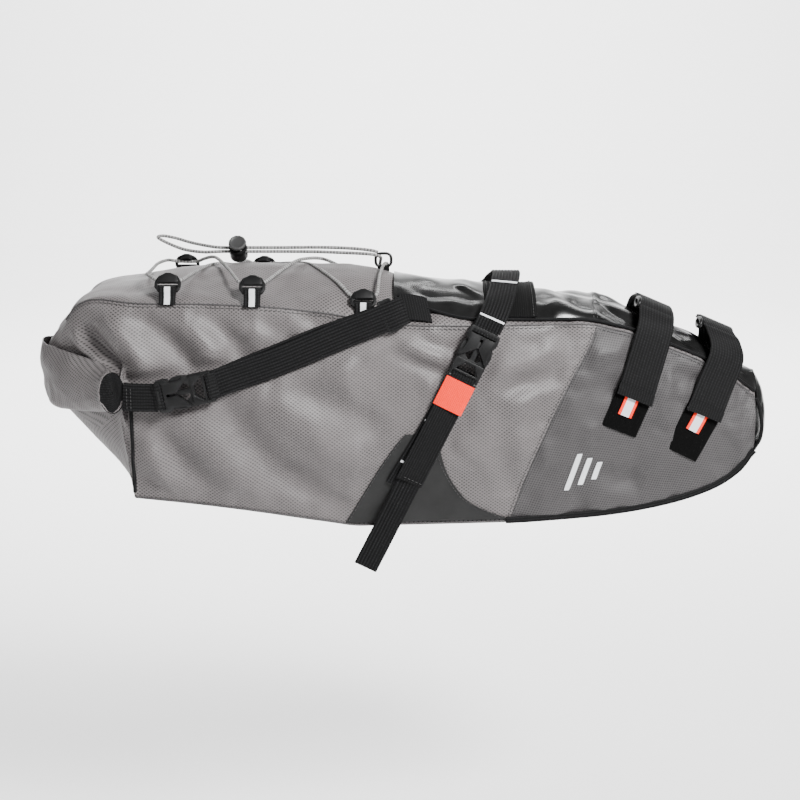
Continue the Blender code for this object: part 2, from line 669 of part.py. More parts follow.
def front_cord_loop(paints):
    """Small ring at the front of the dome that the cord's ends turn round."""
    frame = place(Vector((-112, 14, 18.8)), Vector((0, 0, 1)), Vector((0, -1, 0)))
    rim = rounded(((0, -9), (0, 9), (15, 9), (15, -9)), 3.0, 2)
    window = rounded(((1.6, -7), (1.6, 7), (13.4, 7), (13.4, -7)), 2.0, 2)
    plate("front_cord_ring", (rim, window), 2.6, frame, paints["plastic"])


def cord(paints):
    """The elastic cord on its whole route, from the front ring round the hooks to its loop."""
    curve = bpy.data.curves.new("elastic_cord", "CURVE")
    curve.dimensions = "3D"
    curve.bevel_depth = CORD_DIAMETER / 2 * MM
    curve.bevel_resolution = 2
    curve.use_fill_caps = True
    line = curve.splines.new("POLY")
    points = [Vector(p) for p in CORD_ROUTE]
    count = len(points) - 1
    line.points.add(count)
    for k, point in enumerate(line.points):
        point.co = (*(spline_point(points, k / count) * MM), 1.0)
    add_object("elastic_cord", curve, paints["cord"])


def cord_lock(paints):
    """Cord lock: body with a cord slot, spring inside, button on top."""
    frame = place(LOCK_CENTRE, Vector((1, 0, 0)), Vector((0, -0.75, 0.66)))
    body = cylinder("cord_lock_body", 8.5, -10.0, 5.0, frame, paint=paints["plastic"])
    combine(body, cylinder("lock_bore", 5.6, -7.0, 9.0, frame), "DIFFERENCE")
    combine(body, block("lock_slot", (-20, -4.4, -2.2), (20, 4.4, 2.2), frame), "DIFFERENCE")
    button = cylinder("cord_lock_button", 5.2, -3.8, 9.5, frame, paint=paints["button"])
    cap = cylinder("lock_button_cap", 8.3, 9.2, 12.0, frame)
    combine(button, cap, "UNION")
    combine(button, block("button_slot", (-20, -4.4, -2.2), (20, 4.4, 6.6), frame), "DIFFERENCE")
    curve = bpy.data.curves.new("cord_lock_spring", "CURVE")
    curve.dimensions = "3D"
    curve.bevel_depth = 0.35 * MM
    curve.bevel_resolution = 0
    curve.use_fill_caps = True
    line = curve.splines.new("POLY")
    line.points.add(30)
    for k, point in enumerate(line.points):
        angle = 2 * math.pi * k / 10
        at = frame @ (Vector((3.2 * math.cos(angle), 3.2 * math.sin(angle), -6.5 + k * 0.075)) * MM)
        point.co = (*at, 1.0)
    add_object("cord_lock_spring", curve, paints["steel"])


def build():
    clear_scene()
    paints = {
        "grey": material("pack_cloth_grey", (0.13, 0.125, 0.125), 0.6),
        "nose": material("pack_cloth_dark", (0.085, 0.085, 0.09), 0.6),
        "gloss": material("coated_black", (0.012, 0.012, 0.013), 0.22),
        "patch": material("rubberised_black", (0.03, 0.03, 0.03), 0.65),
        "band": material("band_charcoal", (0.04, 0.04, 0.042), 0.75),
        "webbing": material("webbing_black", (0.012, 0.012, 0.013), 0.7),
        "plastic": material("acetal_black", (0.015, 0.015, 0.016), 0.38),
        "button": material("acetal_grey", (0.3, 0.3, 0.3), 0.4),
        "cord": material("shock_cord_grey", (0.35, 0.35, 0.35), 0.7),
        "inner": material("stiffener_white", (0.7, 0.7, 0.68), 0.5),
        "steel": material("spring_steel", (0.6, 0.6, 0.62), 0.3, 1.0),
    }
    right_pieces = body_panels(paints)
    nose_front(paints)
    rear_closure(paints)
    right_pieces.append(reinforcement(paints))
    right_pieces += rail_fastening(paints)
    right_pieces += roll_fastening(paints)
    right_pieces += cord_hooks(paints)
    for name in SEATPOST_STRAPS:
        seatpost_strap(name, paints)
    front_cord_loop(paints)
    cord(paints)
    cord_lock(paints)
    for piece in right_pieces:
        left_copy(piece)


build()
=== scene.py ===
"""Looks of the saddle bag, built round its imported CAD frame.

Sizes are in millimetres and multiplied by MM where a mesh is made; the camera, the lights and the
simulation's limits are in metres. +X runs to the nose, +Z up, and the right side, which faces the
camera, is -Y.
"""
import math

import bmesh
import bpy
import numpy as np
from mathutils import Matrix, Vector, noise
from mathutils.bvhtree import BVHTree


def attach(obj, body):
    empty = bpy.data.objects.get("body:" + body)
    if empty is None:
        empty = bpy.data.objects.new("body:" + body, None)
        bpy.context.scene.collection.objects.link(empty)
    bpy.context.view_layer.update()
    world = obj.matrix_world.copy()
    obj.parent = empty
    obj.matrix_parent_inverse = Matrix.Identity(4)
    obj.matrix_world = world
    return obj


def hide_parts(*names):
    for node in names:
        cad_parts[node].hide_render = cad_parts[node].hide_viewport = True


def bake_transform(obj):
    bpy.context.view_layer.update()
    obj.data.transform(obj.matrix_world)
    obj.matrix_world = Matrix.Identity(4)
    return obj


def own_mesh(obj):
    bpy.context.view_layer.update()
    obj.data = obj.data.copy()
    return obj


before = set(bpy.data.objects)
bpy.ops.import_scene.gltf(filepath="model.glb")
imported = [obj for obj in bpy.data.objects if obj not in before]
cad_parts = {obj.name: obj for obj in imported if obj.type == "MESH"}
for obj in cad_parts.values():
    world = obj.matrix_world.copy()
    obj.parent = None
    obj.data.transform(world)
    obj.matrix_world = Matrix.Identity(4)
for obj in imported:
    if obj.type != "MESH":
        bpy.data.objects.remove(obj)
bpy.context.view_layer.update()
MM = 0.001
RIGHT = -1
LEFT = 1
SIDES = {RIGHT: "right", LEFT: "left"}

# ---- the bag's driving shape, as in the CAD part ------------------------------------------------
REAR_X = -335.0
NOSE_X = 229.0
SIDE_BULGE = 7.0
BOTTOM_Z = ((-335, -177), (-285, -182), (-225, -190), (-165, -200), (-130, -205), (0, -205),
            (74, -202), (107, -199), (150, -192), (190, -180), (215, -165), (229, -147))
SEAM_Z = ((-335, -2), (-285, -2), (-225, -4), (-165, -10), (-97, -21.5), (-17, -24), (60, -24),
          (107, -33), (150, -50), (190, -68), (229, -96))
CROWN_Z = ((-335, 10), (-285, 20), (-225, 22.5), (-150, 22.5), (-97, 13), (-17, 3.7), (30, -2.8),
           (74, -8.3), (107, -18.5), (150, -36.3), (190, -55.8), (229, -77))
BOTTOM_HALF = ((-335, 72), (-285, 73), (-225, 72), (-165, 68), (-97, 62), (-17, 55), (30, 49),
               (74, 44), (107, 40), (150, 34), (190, 28), (229, 20))
SEAM_HALF = ((-335, 76), (-285, 78), (-225, 78), (-165, 76), (-97, 71), (-17, 62), (30, 56),
             (74, 49), (107, 43), (150, 36), (190, 29), (229, 20))
NOSE_SEAM_X = ((-206, 2), (-164, 16), (-117, 36), (-77, 55), (-42, 73), (-24, 79))   # z, x
ROLL_END_X = -349.0
ROLL_BACK_X = -416.0
ROLL_HALF_SPAN = 90.0
ROLL_Z = -78.0
ROLL_THICK = 24.0
ROLL_END_HEIGHT = 38.0
ROLL_BACK_HEIGHT = 66.0
ROLL_TURNS = 2.25
ROLL_CORE = 0.34            # the roll's inner turn, as a share of its outer one
CLOTH = 0.9
THREAD_RADIUS = 0.3
SHARP_ANGLE = 38            # edges that turn by more degrees stay crisp
WEBBING = 1.6
THIN_WEBBING = 1.3
WEBBING_WIDTH = 25.0
BUCKLE_LENGTH = 50.0
RAIL_BUCKLE_TOP = (-20.8, -25.6)
RAIL_STRAP_FALL = (-0.445, -0.895)
ROLL_BUCKLE_REAR = (-309.0, -80.5)
ROLL_STRAP_RISE = (0.98, 0.2)
ROLL_STRAP_START = (-261.5, -70.8, 8.6)     # x, z, lift
BUCKLE_LIFT = 7.4
HOOK_X = (-300.0, -226.0, -129.0)
SLOPE = Vector((0.92, 0.0, -0.39)).normalized()
SEATPOST_WIDTH = 34.0
SEATPOST_STRAPS = {
    "rear": ((131.0, -33.5), (114.0, -92.0), (137.0, -12.5)),
    "front": ((199.0, -57.0), (178.5, -109.0), (194.0, -32.0)),
}
LOCK_CENTRE = Vector((-247.0, 28.0, 34.0))
CORD_DIAMETER = 3.0
CORD_ROUTE = (
    (-108.5, 20, 22), (-110, 14, 23), (-112, 0, 23), (-115, -30, 18), (-116, -50, 11),
    (-118, -61, 4.5), (-129, -62.1, 3), (-140, -61, 4.5), (-152, -46, 14), (-172, -16, 23.5),
    (-184, 4, 24.5), (-200, 32, 21), (-211, 55, 17.5), (-216, 65, 16.5), (-226, 66.3, 15.8),
    (-237, 65.5, 16.6), (-242, 58, 19.5), (-250, 42, 18), (-262, 16, 22.8), (-273, -10, 23.5),
    (-284, -46, 20), (-289, -64, 18.5), (-300, -66, 17.8), (-311, -65, 18.8), (-317, -56, 20.5),
    (-323, -36, 20), (-325, -12, 18), (-325, 12, 18), (-323, 36, 20), (-317, 56, 20.5),
    (-311, 65, 18.8), (-300, 66, 17.8), (-289, 64, 18.5), (-281, 42, 23.5), (-270, 14, 29),
    (-262, -6, 29.5), (-250, -36, 24.5), (-242, -57, 19.5), (-237, -65.5, 16.6),
    (-226, -66.3, 15.8), (-216, -65, 16.5), (-208, -47, 20.5), (-194, -18, 27.5), (-184, 0, 29),
    (-168, 26, 25.5), (-150, 48, 14), (-140, 61, 4.5), (-129, 62.1, 3), (-118, 61, 4.5),
    (-116, 48, 13), (-115, 30, 23), (-114.5, 14, 28.5), (-118, 5, 31.5), (-127, 4, 33),
    (-148, 12, 33), (-175, 20, 33), (-205, 26.5, 32.4), (-232, 26.5, 32.4), (-262, 26.5, 32.4),
    (-280, 30, 31.5), (-298, 40, 32.5), (-314, 49, 37), (-325, 55, 42), (-321, 61, 43),
    (-309, 60, 41), (-294, 51, 38), (-277, 37, 36.5), (-262, 29.5, 35.7), (-232, 29.5, 35.7),
    (-205, 29.5, 35.7), (-170, 24.5, 36.5), (-142, 17, 36.5), (-124, 10.5, 35.5), (-117, 9, 34),
)


def smooth(knots, at):
    """Value at a place along a smooth curve through (place, value) knots, without overshoot."""
    places, values = np.array(knots, float).T
    slopes = np.diff(values) / np.diff(places)
    product = slopes[:-1] * slopes[1:]
    total = np.where(product > 0, slopes[:-1] + slopes[1:], 1.0)
    tangents = np.concatenate((slopes[:1], np.where(product > 0, 2 * product / total, 0.0), slopes[-1:]))
    at = np.clip(at, places[0], places[-1])
    i = np.clip(np.searchsorted(places, at, side="right") - 1, 0, len(slopes) - 1)
    width = places[i + 1] - places[i]
    t = (at - places[i]) / width
    near = (2 * t ** 3 - 3 * t ** 2 + 1) * values[i] + (t ** 3 - 2 * t ** 2 + t) * width * tangents[i]
    far = (3 * t ** 2 - 2 * t ** 3) * values[i + 1] + (t ** 3 - t ** 2) * width * tangents[i + 1]
    return float(near + far)


def side_half(x, z):
    """Half width of the bag at a height; above the seam it stays at the seam's width."""
    low = smooth(BOTTOM_Z, x)
    t = clamp((z - low) / (smooth(SEAM_Z, x) - low))
    flat = smooth(BOTTOM_HALF, x) + (smooth(SEAM_HALF, x) - smooth(BOTTOM_HALF, x)) * t
    return flat + 4 * SIDE_BULGE * t * (1 - t)


def clamp(value):
    return min(1.0, max(0.0, value))


def on_side(x, z, lift=0.0, side=RIGHT):
    """Point on a side of the bag, lifted outwards."""
    return Vector((x, side * (side_half(x, z) + lift), z))


def side_out(x, z, side=RIGHT):
    """Outward direction of a side at a place."""
    along = on_side(x + 1, z) - on_side(x - 1, z)
    up = on_side(x, z + 1) - on_side(x, z - 1)
    out = along.cross(up).normalized()
    return Vector((out.x, -side * out.y, out.z))


def on_top(x, across, lift=0.0):
    """Point on the top arch; across runs from -1 at the right seam to 1 at the left one."""
    seam = smooth(SEAM_Z, x) + 1.4
    z = seam + (smooth(CROWN_Z, x) - seam) * (1 - across ** 2)
    return Vector((x, across * (smooth(SEAM_HALF, x) - 0.3), z + lift))


def spline_point(points, t):
    """Point at t (0 to 1) on a smooth curve through the points."""
    count = len(points) - 1
    place = min(t * count, count - 1e-9)
    i = int(place)
    f = place - i
    p1 = points[i]
    p2 = points[i + 1]
    p0 = points[i - 1] if i > 0 else p1 * 2 - p2
    p3 = points[i + 2] if i + 2 <= count else p2 * 2 - p1
    return (p1 * 2 + (p2 - p0) * f + (p0 * 2 - p1 * 5 + p2 * 4 - p3) * f ** 2
            + (p1 * 3 - p0 - p2 * 3 + p3) * f ** 3) * 0.5


def span(low, high, count):
    """Evenly spaced values from low to high, both taken in."""
    return [low + (high - low) * k / count for k in range(count + 1)]


def fine_path(points, per):
    """The spline's points, with per steps from each given point to the next."""
    count = (len(points) - 1) * per
    return [spline_point(points, k / count) for k in range(count + 1)]


def heading(points, t, reach=0.004):
    """Direction of the spline at t, not yet of unit length."""
    return spline_point(points, min(1.0, t + reach)) - spline_point(points, max(0.0, t - reach))


def route_length(points):
    return sum((b - a).length for a, b in zip(points, points[1:]))


def mirrored(point, side):
    """A right-side point or direction, moved to the side asked for."""
    return Vector((point[0], -side * point[1], point[2]))


def place(origin, along, outward):
    """Matrix of a local frame in millimetres: u along, v across, w outward."""
    u = along.normalized()
    w = (outward - u * outward.dot(u)).normalized()
    v = w.cross(u)
    return Matrix.Translation(origin) @ Matrix((u, v, w)).transposed().to_4x4()


# ---- meshes -------------------------------------------------------------------------------------
class Shaping:
    """A mesh's bmesh inside a with block, written back at its end."""

    def __init__(self, mesh):
        self.mesh = mesh
        self.shape = bmesh.new()
        self.shape.from_mesh(mesh)
        self.shape.verts.ensure_lookup_table()

    def __enter__(self):
        return self.shape

    def __exit__(self, *error):
        self.shape.to_mesh(self.mesh)
        self.shape.free()


def face_outwards(mesh):
    with Shaping(mesh) as shape:
        bmesh.ops.recalc_face_normals(shape, faces=shape.faces)


def new_object(name, data):
    made = bpy.data.objects.new(name, data)
    bpy.context.scene.collection.objects.link(made)
    return made


def evaluated_mesh(item):
    bpy.context.view_layer.update()
    return bpy.data.meshes.new_from_object(item.evaluated_get(bpy.context.evaluated_depsgraph_get()))


def give_flat(mesh, spots):
    """Flat coordinates in metres, one for each face corner, that the weaves follow."""
    mesh.uv_layers.new(name="flat").data.foreach_set("uv", np.array(spots, float).ravel())


def grid_object(name, rows, uv, ring=False):
    """An open surface through rows of points, with its flat coordinates in millimetres as UV."""
    wide = len(rows[0])
    mesh = bpy.data.meshes.new(name)
    faces = []
    corners = []
    for i in range(len(rows) - 1):
        for j in range(wide if ring else wide - 1):
            k = (j + 1) % wide
            faces.append((i * wide + j, i * wide + k, (i + 1) * wide + k, (i + 1) * wide + j))
            corners += [(i, j), (i, j + 1), (i + 1, j + 1), (i + 1, j)]
    mesh.from_pydata([p * MM for row in rows for p in row], [], faces)
    give_flat(mesh, np.array([uv[i][j] for i, j in corners], float) * MM)
    return new_object(name, mesh)


def flat_lengths(rows, ring=False):
    """Flat coordinates of a grid: run along its columns and across its rows, in millimetres."""
    grid = np.array([[tuple(p) for p in row] for row in rows])
    if ring:
        grid = np.concatenate((grid, grid[:, :1]), axis=1)
    down = np.linalg.norm(np.diff(grid, axis=0), axis=2)
    across = np.linalg.norm(np.diff(grid, axis=1), axis=2)
    down = np.concatenate((np.zeros((1, grid.shape[1])), np.cumsum(down, axis=0)))
    across = np.concatenate((np.zeros((grid.shape[0], 1)), np.cumsum(across, axis=1)), axis=1)
    return np.stack((down, across - across.mean(axis=1, keepdims=True)), axis=2)


def settle(item):
    """Put an object's modifiers into its mesh."""
    mesh = evaluated_mesh(item)
    item.modifiers.clear()
    item.data = mesh
    return item


def thicken(item, thickness):
    """Give a surface real thickness under its outer face."""
    step = item.modifiers.new("thickness", "SOLIDIFY")
    step.thickness = thickness * MM
    step.offset = -1.0
    step.use_even_offset = False
    return settle(item)


def smoother(item):
    """Add one level of subdivision."""
    step = item.modifiers.new("smoother", "SUBSURF")
    step.levels = 1
    step.render_levels = 1
    return step


def finish_piece(item, paint, *nodes, body="bag", slot=None):
    """Material, smooth shading, the body it rides on and the CAD nodes it stands for."""
    item.data.materials.clear()
    item.data.materials.append(PAINTS[paint])
    item.data.shade_smooth()
    item.data.set_sharp_from_angle(angle=math.radians(SHARP_ANGLE))
    if body:
        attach(item, body)
    slot or paint
    if nodes:
        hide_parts(*nodes)


def slab(name, stations, width, thickness, ribs, columns, rib_height, edge, soft_share, wave, back):
    """A closed strap of (middle, half across, outward) stations, with ribs and soft edges."""
    rows = []
    uv = []
    run = 0.0
    before = stations[0][0]
    for here, reach, out in stations:
        run += (here - before).length
        before = here
        ripple = wave * math.sin(run * 0.21 + 1.3 * math.sin(run * 0.05))
        loop = []
        flat = []
        for way in (1, -1):
            for c in range(columns + 1):
                v = (-1 + 2 * c / columns) * way
                soft = edge * max(0.0, (abs(v) - 1 + soft_share) / soft_share) ** 2
                rib = rib_height * (abs(math.sin(math.pi * ribs * (v + 1) / 2)) - 1) if ribs else 0.0
                rise = rib - soft if way > 0 else soft - thickness
                loop.append(here + reach * v + out * (rise + ripple * v))
                flat.append((run, v * width / 2 + (0 if way > 0 else back)))
        rows.append(loop)
        uv.append(flat + [flat[0]])
    made = grid_object(name, rows, uv, ring=True)
    cap_ends(made, len(rows[0]), len(rows))
    return made


def ribbon(name, points, outs, width, thickness, ribs=0, rib_height=0.4, step=2.5, edge=0.35,
           wave=0.0):
    """Webbing along a route of points on its outer face."""
    count = max(6, int(route_length(points) / step))
    stations = []
    for t in span(0.0, 1.0, count):
        ahead = heading(points, t)
        across = spline_point(outs, t).cross(ahead).normalized()
        stations.append((spline_point(points, t), across * (width / 2), ahead.cross(across).normalized()))
    return slab(name, stations, width, thickness, ribs, max(8, ribs * 4), rib_height, edge,
                2 * edge / width, wave, 50)


def cap_ends(item, wide, high):
    """Close the two ends of a ringed grid."""
    with Shaping(item.data) as shape:
        layer = shape.loops.layers.uv.active
        for first in (0, (high - 1) * wide):
            ring = [shape.verts[first + k] for k in range(wide)]
            for k in range(wide // 2 - 1):
                face = shape.faces.new((ring[k], ring[k + 1], ring[wide - 2 - k], ring[wide - 1 - k]))
                for corner in face.loops:
                    corner[layer].uv = (first * 1e-4, (corner.vert.index % wide) * 0.4 * MM)
        bmesh.ops.recalc_face_normals(shape, faces=shape.faces)


def tube(name, points, radius, sides=10, per=1):
    """A round cord or welt through the points, closed at both ends."""
    path = fine_path(points, per)
    last = len(path) - 1
    normal = (path[1] - path[0]).normalized().orthogonal()
    rows = []
    uv = []
    run = 0.0
    for k, here in enumerate(path):
        tangent = (path[min(k + 1, last)] - path[max(k - 1, 0)]).normalized()
        normal = (normal - tangent * normal.dot(tangent)).normalized()
        side = tangent.cross(normal)
        run += (here - path[k - 1]).length if k else 0.0
        rows.append([here + (normal * math.cos(a) + side * math.sin(a)) * radius
                     for a in (math.tau * s / sides for s in range(sides))])
        uv.append([(run, s / sides * 10.0) for s in range(sides + 1)])
    made = grid_object(name, rows, uv, ring=True)
    with Shaping(made.data) as shape:
        for first in (0, last * sides):
            shape.faces.new([shape.verts[first + s] for s in range(sides)])
        bmesh.ops.recalc_face_normals(shape, faces=shape.faces)
    return made


def rounded(corners, radius, steps=4):
    """Outline with its corners rounded by arcs."""
    outline = []
    count = len(corners)
    for i, corner in enumerate(corners):
        here = Vector(corner)
        before = Vector(corners[i - 1]) - here
        after = Vector(corners[(i + 1) % count]) - here
        half = before.angle(after) / 2
        reach = min(radius / math.tan(half), before.length * 0.49, after.length * 0.49)
        start = here + before.normalized() * reach
        stop = here + after.normalized() * reach
        for k in range(steps + 1):
            t = k / steps
            outline.append(start * (1 - t) ** 2 + here * 2 * t * (1 - t) + stop * t ** 2)
    return outline


def box_outline(u_low, u_high, half_width, radius=1.0):
    return rounded(((u_low, -half_width), (u_high, -half_width), (u_high, half_width),
                    (u_low, half_width)), radius)


def layer_mesh(outlines, low, high, edge, crown):
    """One flat moulded layer in local millimetres, with rounded edges and a crowned face."""
    curve = bpy.data.curves.new("layer", "CURVE")
    curve.dimensions = "2D"
    curve.fill_mode = "BOTH"
    curve.extrude = (high - low) / 2
    for outline in outlines:
        line = curve.splines.new("POLY")
        line.points.add(len(outline) - 1)
        for point, at in zip(line.points, outline):
            point.co = (at[0], at[1], 0.0, 1.0)
        line.use_cyclic_u = True
    flat = new_object("layer", curve)
    mesh = evaluated_mesh(flat)
    bpy.data.objects.remove(flat)
    with Shaping(mesh) as shape:
        bmesh.ops.remove_doubles(shape, verts=shape.verts, dist=1e-4)
        bmesh.ops.recalc_face_normals(shape, faces=shape.faces)
        bmesh.ops.dissolve_limit(shape, angle_limit=0.01, verts=shape.verts, edges=shape.edges)
        rim = [e for e in shape.edges
               if len(e.link_faces) == 2 and e.calc_face_angle(0.0) > math.radians(60)
               and abs(e.verts[0].co.z - e.verts[1].co.z) < 1e-4]
        bmesh.ops.bevel(shape, geom=rim, offset=edge, segments=3, profile=0.5, affect="EDGES",
                        clamp_overlap=True)
        if crown:
            for v in span(-12.0, 12.0, 8):
                bmesh.ops.bisect_plane(shape, geom=[*shape.verts, *shape.edges, *shape.faces],
                                       plane_co=(0, v, 0), plane_no=(0, 1, 0))
            for vert in shape.verts:
                if vert.co.z > 0:
                    vert.co.z += crown * (1 - (vert.co.y / 15.0) ** 2)
        bmesh.ops.translate(shape, vec=(0, 0, (low + high) / 2), verts=shape.verts)
    return mesh


def moulding(name, layers, at):
    """A moulded piece of (outlines, low, high, edge, crown) layers in one local frame."""
    whole = bpy.data.meshes.new(name)
    with Shaping(whole) as shape:
        for layer in layers:
            part = layer_mesh(*layer)
            shape.from_mesh(part)
            bpy.data.meshes.remove(part)
        bmesh.ops.transform(shape, matrix=Matrix.Scale(MM, 4) @ at, verts=shape.verts)
    return new_object(name, whole)


# ---- materials ----------------------------------------------------------------------------------
PAINTS = {}


class Paint:
    """A material under construction: its shader, and helpers that add nodes to it."""

    def __init__(self, name, colour, roughness, **values):
        self.made = bpy.data.materials.new(name)
        self.made.use_nodes = True
        self.tree = self.made.node_tree
        self.shader = self.tree.nodes["Principled BSDF"]
        self.set("Base Color", (*colour, 1.0))
        self.set("Roughness", roughness)
        for key, value in values.items():
            self.set(key.replace("_", " ").title().replace("Ior", "IOR"), value)
        PAINTS[name] = self.made

    def set(self, socket, value):
        self.shader.inputs[socket].default_value = value

    def node(self, kind, *inputs, **options):
        made = self.tree.nodes.new(kind)
        for key, value in options.items():
            setattr(made, key, value)
        for k, value in enumerate(inputs):
            self.feed(made.inputs[k], value)
        return made

    def feed(self, socket, value):
        if isinstance(value, bpy.types.NodeSocket):
            self.tree.links.new(value, socket)
        elif value is not None:
            socket.default_value = value

    def math(self, operation, *inputs):
        return self.node("ShaderNodeMath", *inputs, operation=operation).outputs[0]

    def flat(self):
        """The surface's flat coordinates, in millimetres."""
        uv = self.node("ShaderNodeUVMap", uv_map="flat").outputs[0]
        split = self.node("ShaderNodeSeparateXYZ", uv)
        return [self.math("MULTIPLY", split.outputs[k], 1000.0) for k in (0, 1)]

    def wave(self, along, period):
        """Cosine of a coordinate, from -1 to 1."""
        return self.math("COSINE", self.math("MULTIPLY", along, math.tau / period))

    def noise(self, scale, detail=3.0):
        where = self.node("ShaderNodeTexCoord").outputs["Object"]
        made = self.node("ShaderNodeTexNoise", where)
        made.inputs["Scale"].default_value = scale
        made.inputs["Detail"].default_value = detail
        made.inputs["Roughness"].default_value = 0.55
        return made.outputs[0]

    def between(self, value, low, high, to_low=0.0, to_high=1.0):
        return self.node("ShaderNodeMapRange", value, low, high, to_low, to_high).outputs[0]

    def mix(self, share, first, second):
        made = self.node("ShaderNodeMix", data_type="RGBA")
        self.feed(made.inputs[0], share)
        for socket, value in ((made.inputs[6], first), (made.inputs[7], second)):
            self.feed(socket, (*value, 1.0) if isinstance(value, tuple) else value)
        return made.outputs[2]

    def colour(self, value):
        self.feed(self.shader.inputs["Base Color"], value)

    def rough(self, value):
        self.feed(self.shader.inputs["Roughness"], value)

    def bump(self, height, depth, strength=1.0, after=None):
        """Bump of a height socket (0 to 1) times a depth in millimetres."""
        made = self.node("ShaderNodeBump")
        made.inputs["Strength"].default_value = strength
        made.inputs["Distance"].default_value = depth * MM
        self.feed(made.inputs["Height"], height)
        if after:
            self.tree.links.new(after, made.inputs["Normal"])
        self.tree.links.new(made.outputs[0], self.shader.inputs["Normal"])
        return made.outputs[0]


def pack_cloth(name, dark, light, pitch, rise, turn, sheen, rough):
    """Laminated cloth with a woven lattice of dots, rows turned by an angle."""
    paint = Paint(name, light, rough, sheen_weight=sheen, sheen_roughness=0.4,
                  specular_ior_level=0.35)
    u, v = paint.flat()
    if turn:
        c = math.cos(turn)
        s = math.sin(turn)
        u, v = (paint.math("ADD", paint.math("MULTIPLY", u, c), paint.math("MULTIPLY", v, s)),
                paint.math("SUBTRACT", paint.math("MULTIPLY", v, c), paint.math("MULTIPLY", u, s)))
    dots = paint.math("MULTIPLY", paint.wave(u, pitch), paint.wave(v, rise))
    height = paint.between(dots, 0.8, -0.05)
    mottle = paint.noise(24.0, 4.0)
    fine = paint.noise(900.0, 2.0)
    pale = tuple(1.5 * c for c in light)
    worn = paint.mix(paint.between(mottle, 0.35, 0.7, 0.0, 0.22), paint.mix(height, dark, light), pale)
    paint.colour(paint.mix(paint.between(fine, 0.3, 0.7, 0.0, 0.15), worn, dark))
    paint.rough(paint.between(mottle, 0.3, 0.7, rough - 0.05, rough + 0.1))
    soft = paint.bump(paint.noise(45.0, 5.0), 0.7, 0.35)
    paint.bump(height, 0.22, 0.5, after=soft)


def webbing(name, dark, light, rough=0.6, rib=1.15, weave=1.5, twill=0.0):
    """Woven strap: ribs along it, crossed by fine weft, with a slight sheen."""
    paint = Paint(name, dark, rough, sheen_weight=0.03, sheen_roughness=0.5, specular_ior_level=0.1)
    u, v = paint.flat()
    if twill:
        u = paint.math("ADD", u, paint.math("MULTIPLY", v, twill))
    ribs = paint.between(paint.wave(v, rib), -1.0, 1.0)
    weft = paint.between(paint.wave(u, weave), -1.0, 1.0)
    height = paint.math("MULTIPLY", ribs, paint.math("MULTIPLY_ADD", weft, 0.6, 0.4))
    grain = paint.noise(700.0, 2.0)
    tone = paint.math("MULTIPLY", height, paint.between(grain, 0.3, 0.7, 0.4, 1.0))
    paint.colour(paint.mix(tone, dark, light))
    paint.bump(height, 0.3, 0.6)


def plastic(name, colour, rough):
    """Moulded plastic with a fine spark texture and rubbed spots."""
    paint = Paint(name, colour, rough, specular_ior_level=0.3)
    grain = paint.noise(1500.0, 2.0)
    patches = paint.noise(60.0, 3.0)
    paint.colour(paint.mix(paint.between(patches, 0.4, 0.75, 0.0, 0.35), colour,
                           tuple(c * 1.5 + 0.003 for c in colour)))
    paint.rough(paint.between(patches, 0.3, 0.7, rough - 0.06, rough + 0.1))
    paint.bump(grain, 0.05, 0.35)
    return paint


def speckled(name, tone, rough, scale, high, dark, light, **values):
    """A plain coat whose colour drifts between two greys."""
    paint = Paint(name, (tone,) * 3, rough, **values)
    paint.colour(paint.mix(paint.between(paint.noise(scale), 0.3, high), (dark,) * 3, (light,) * 3))
    return paint


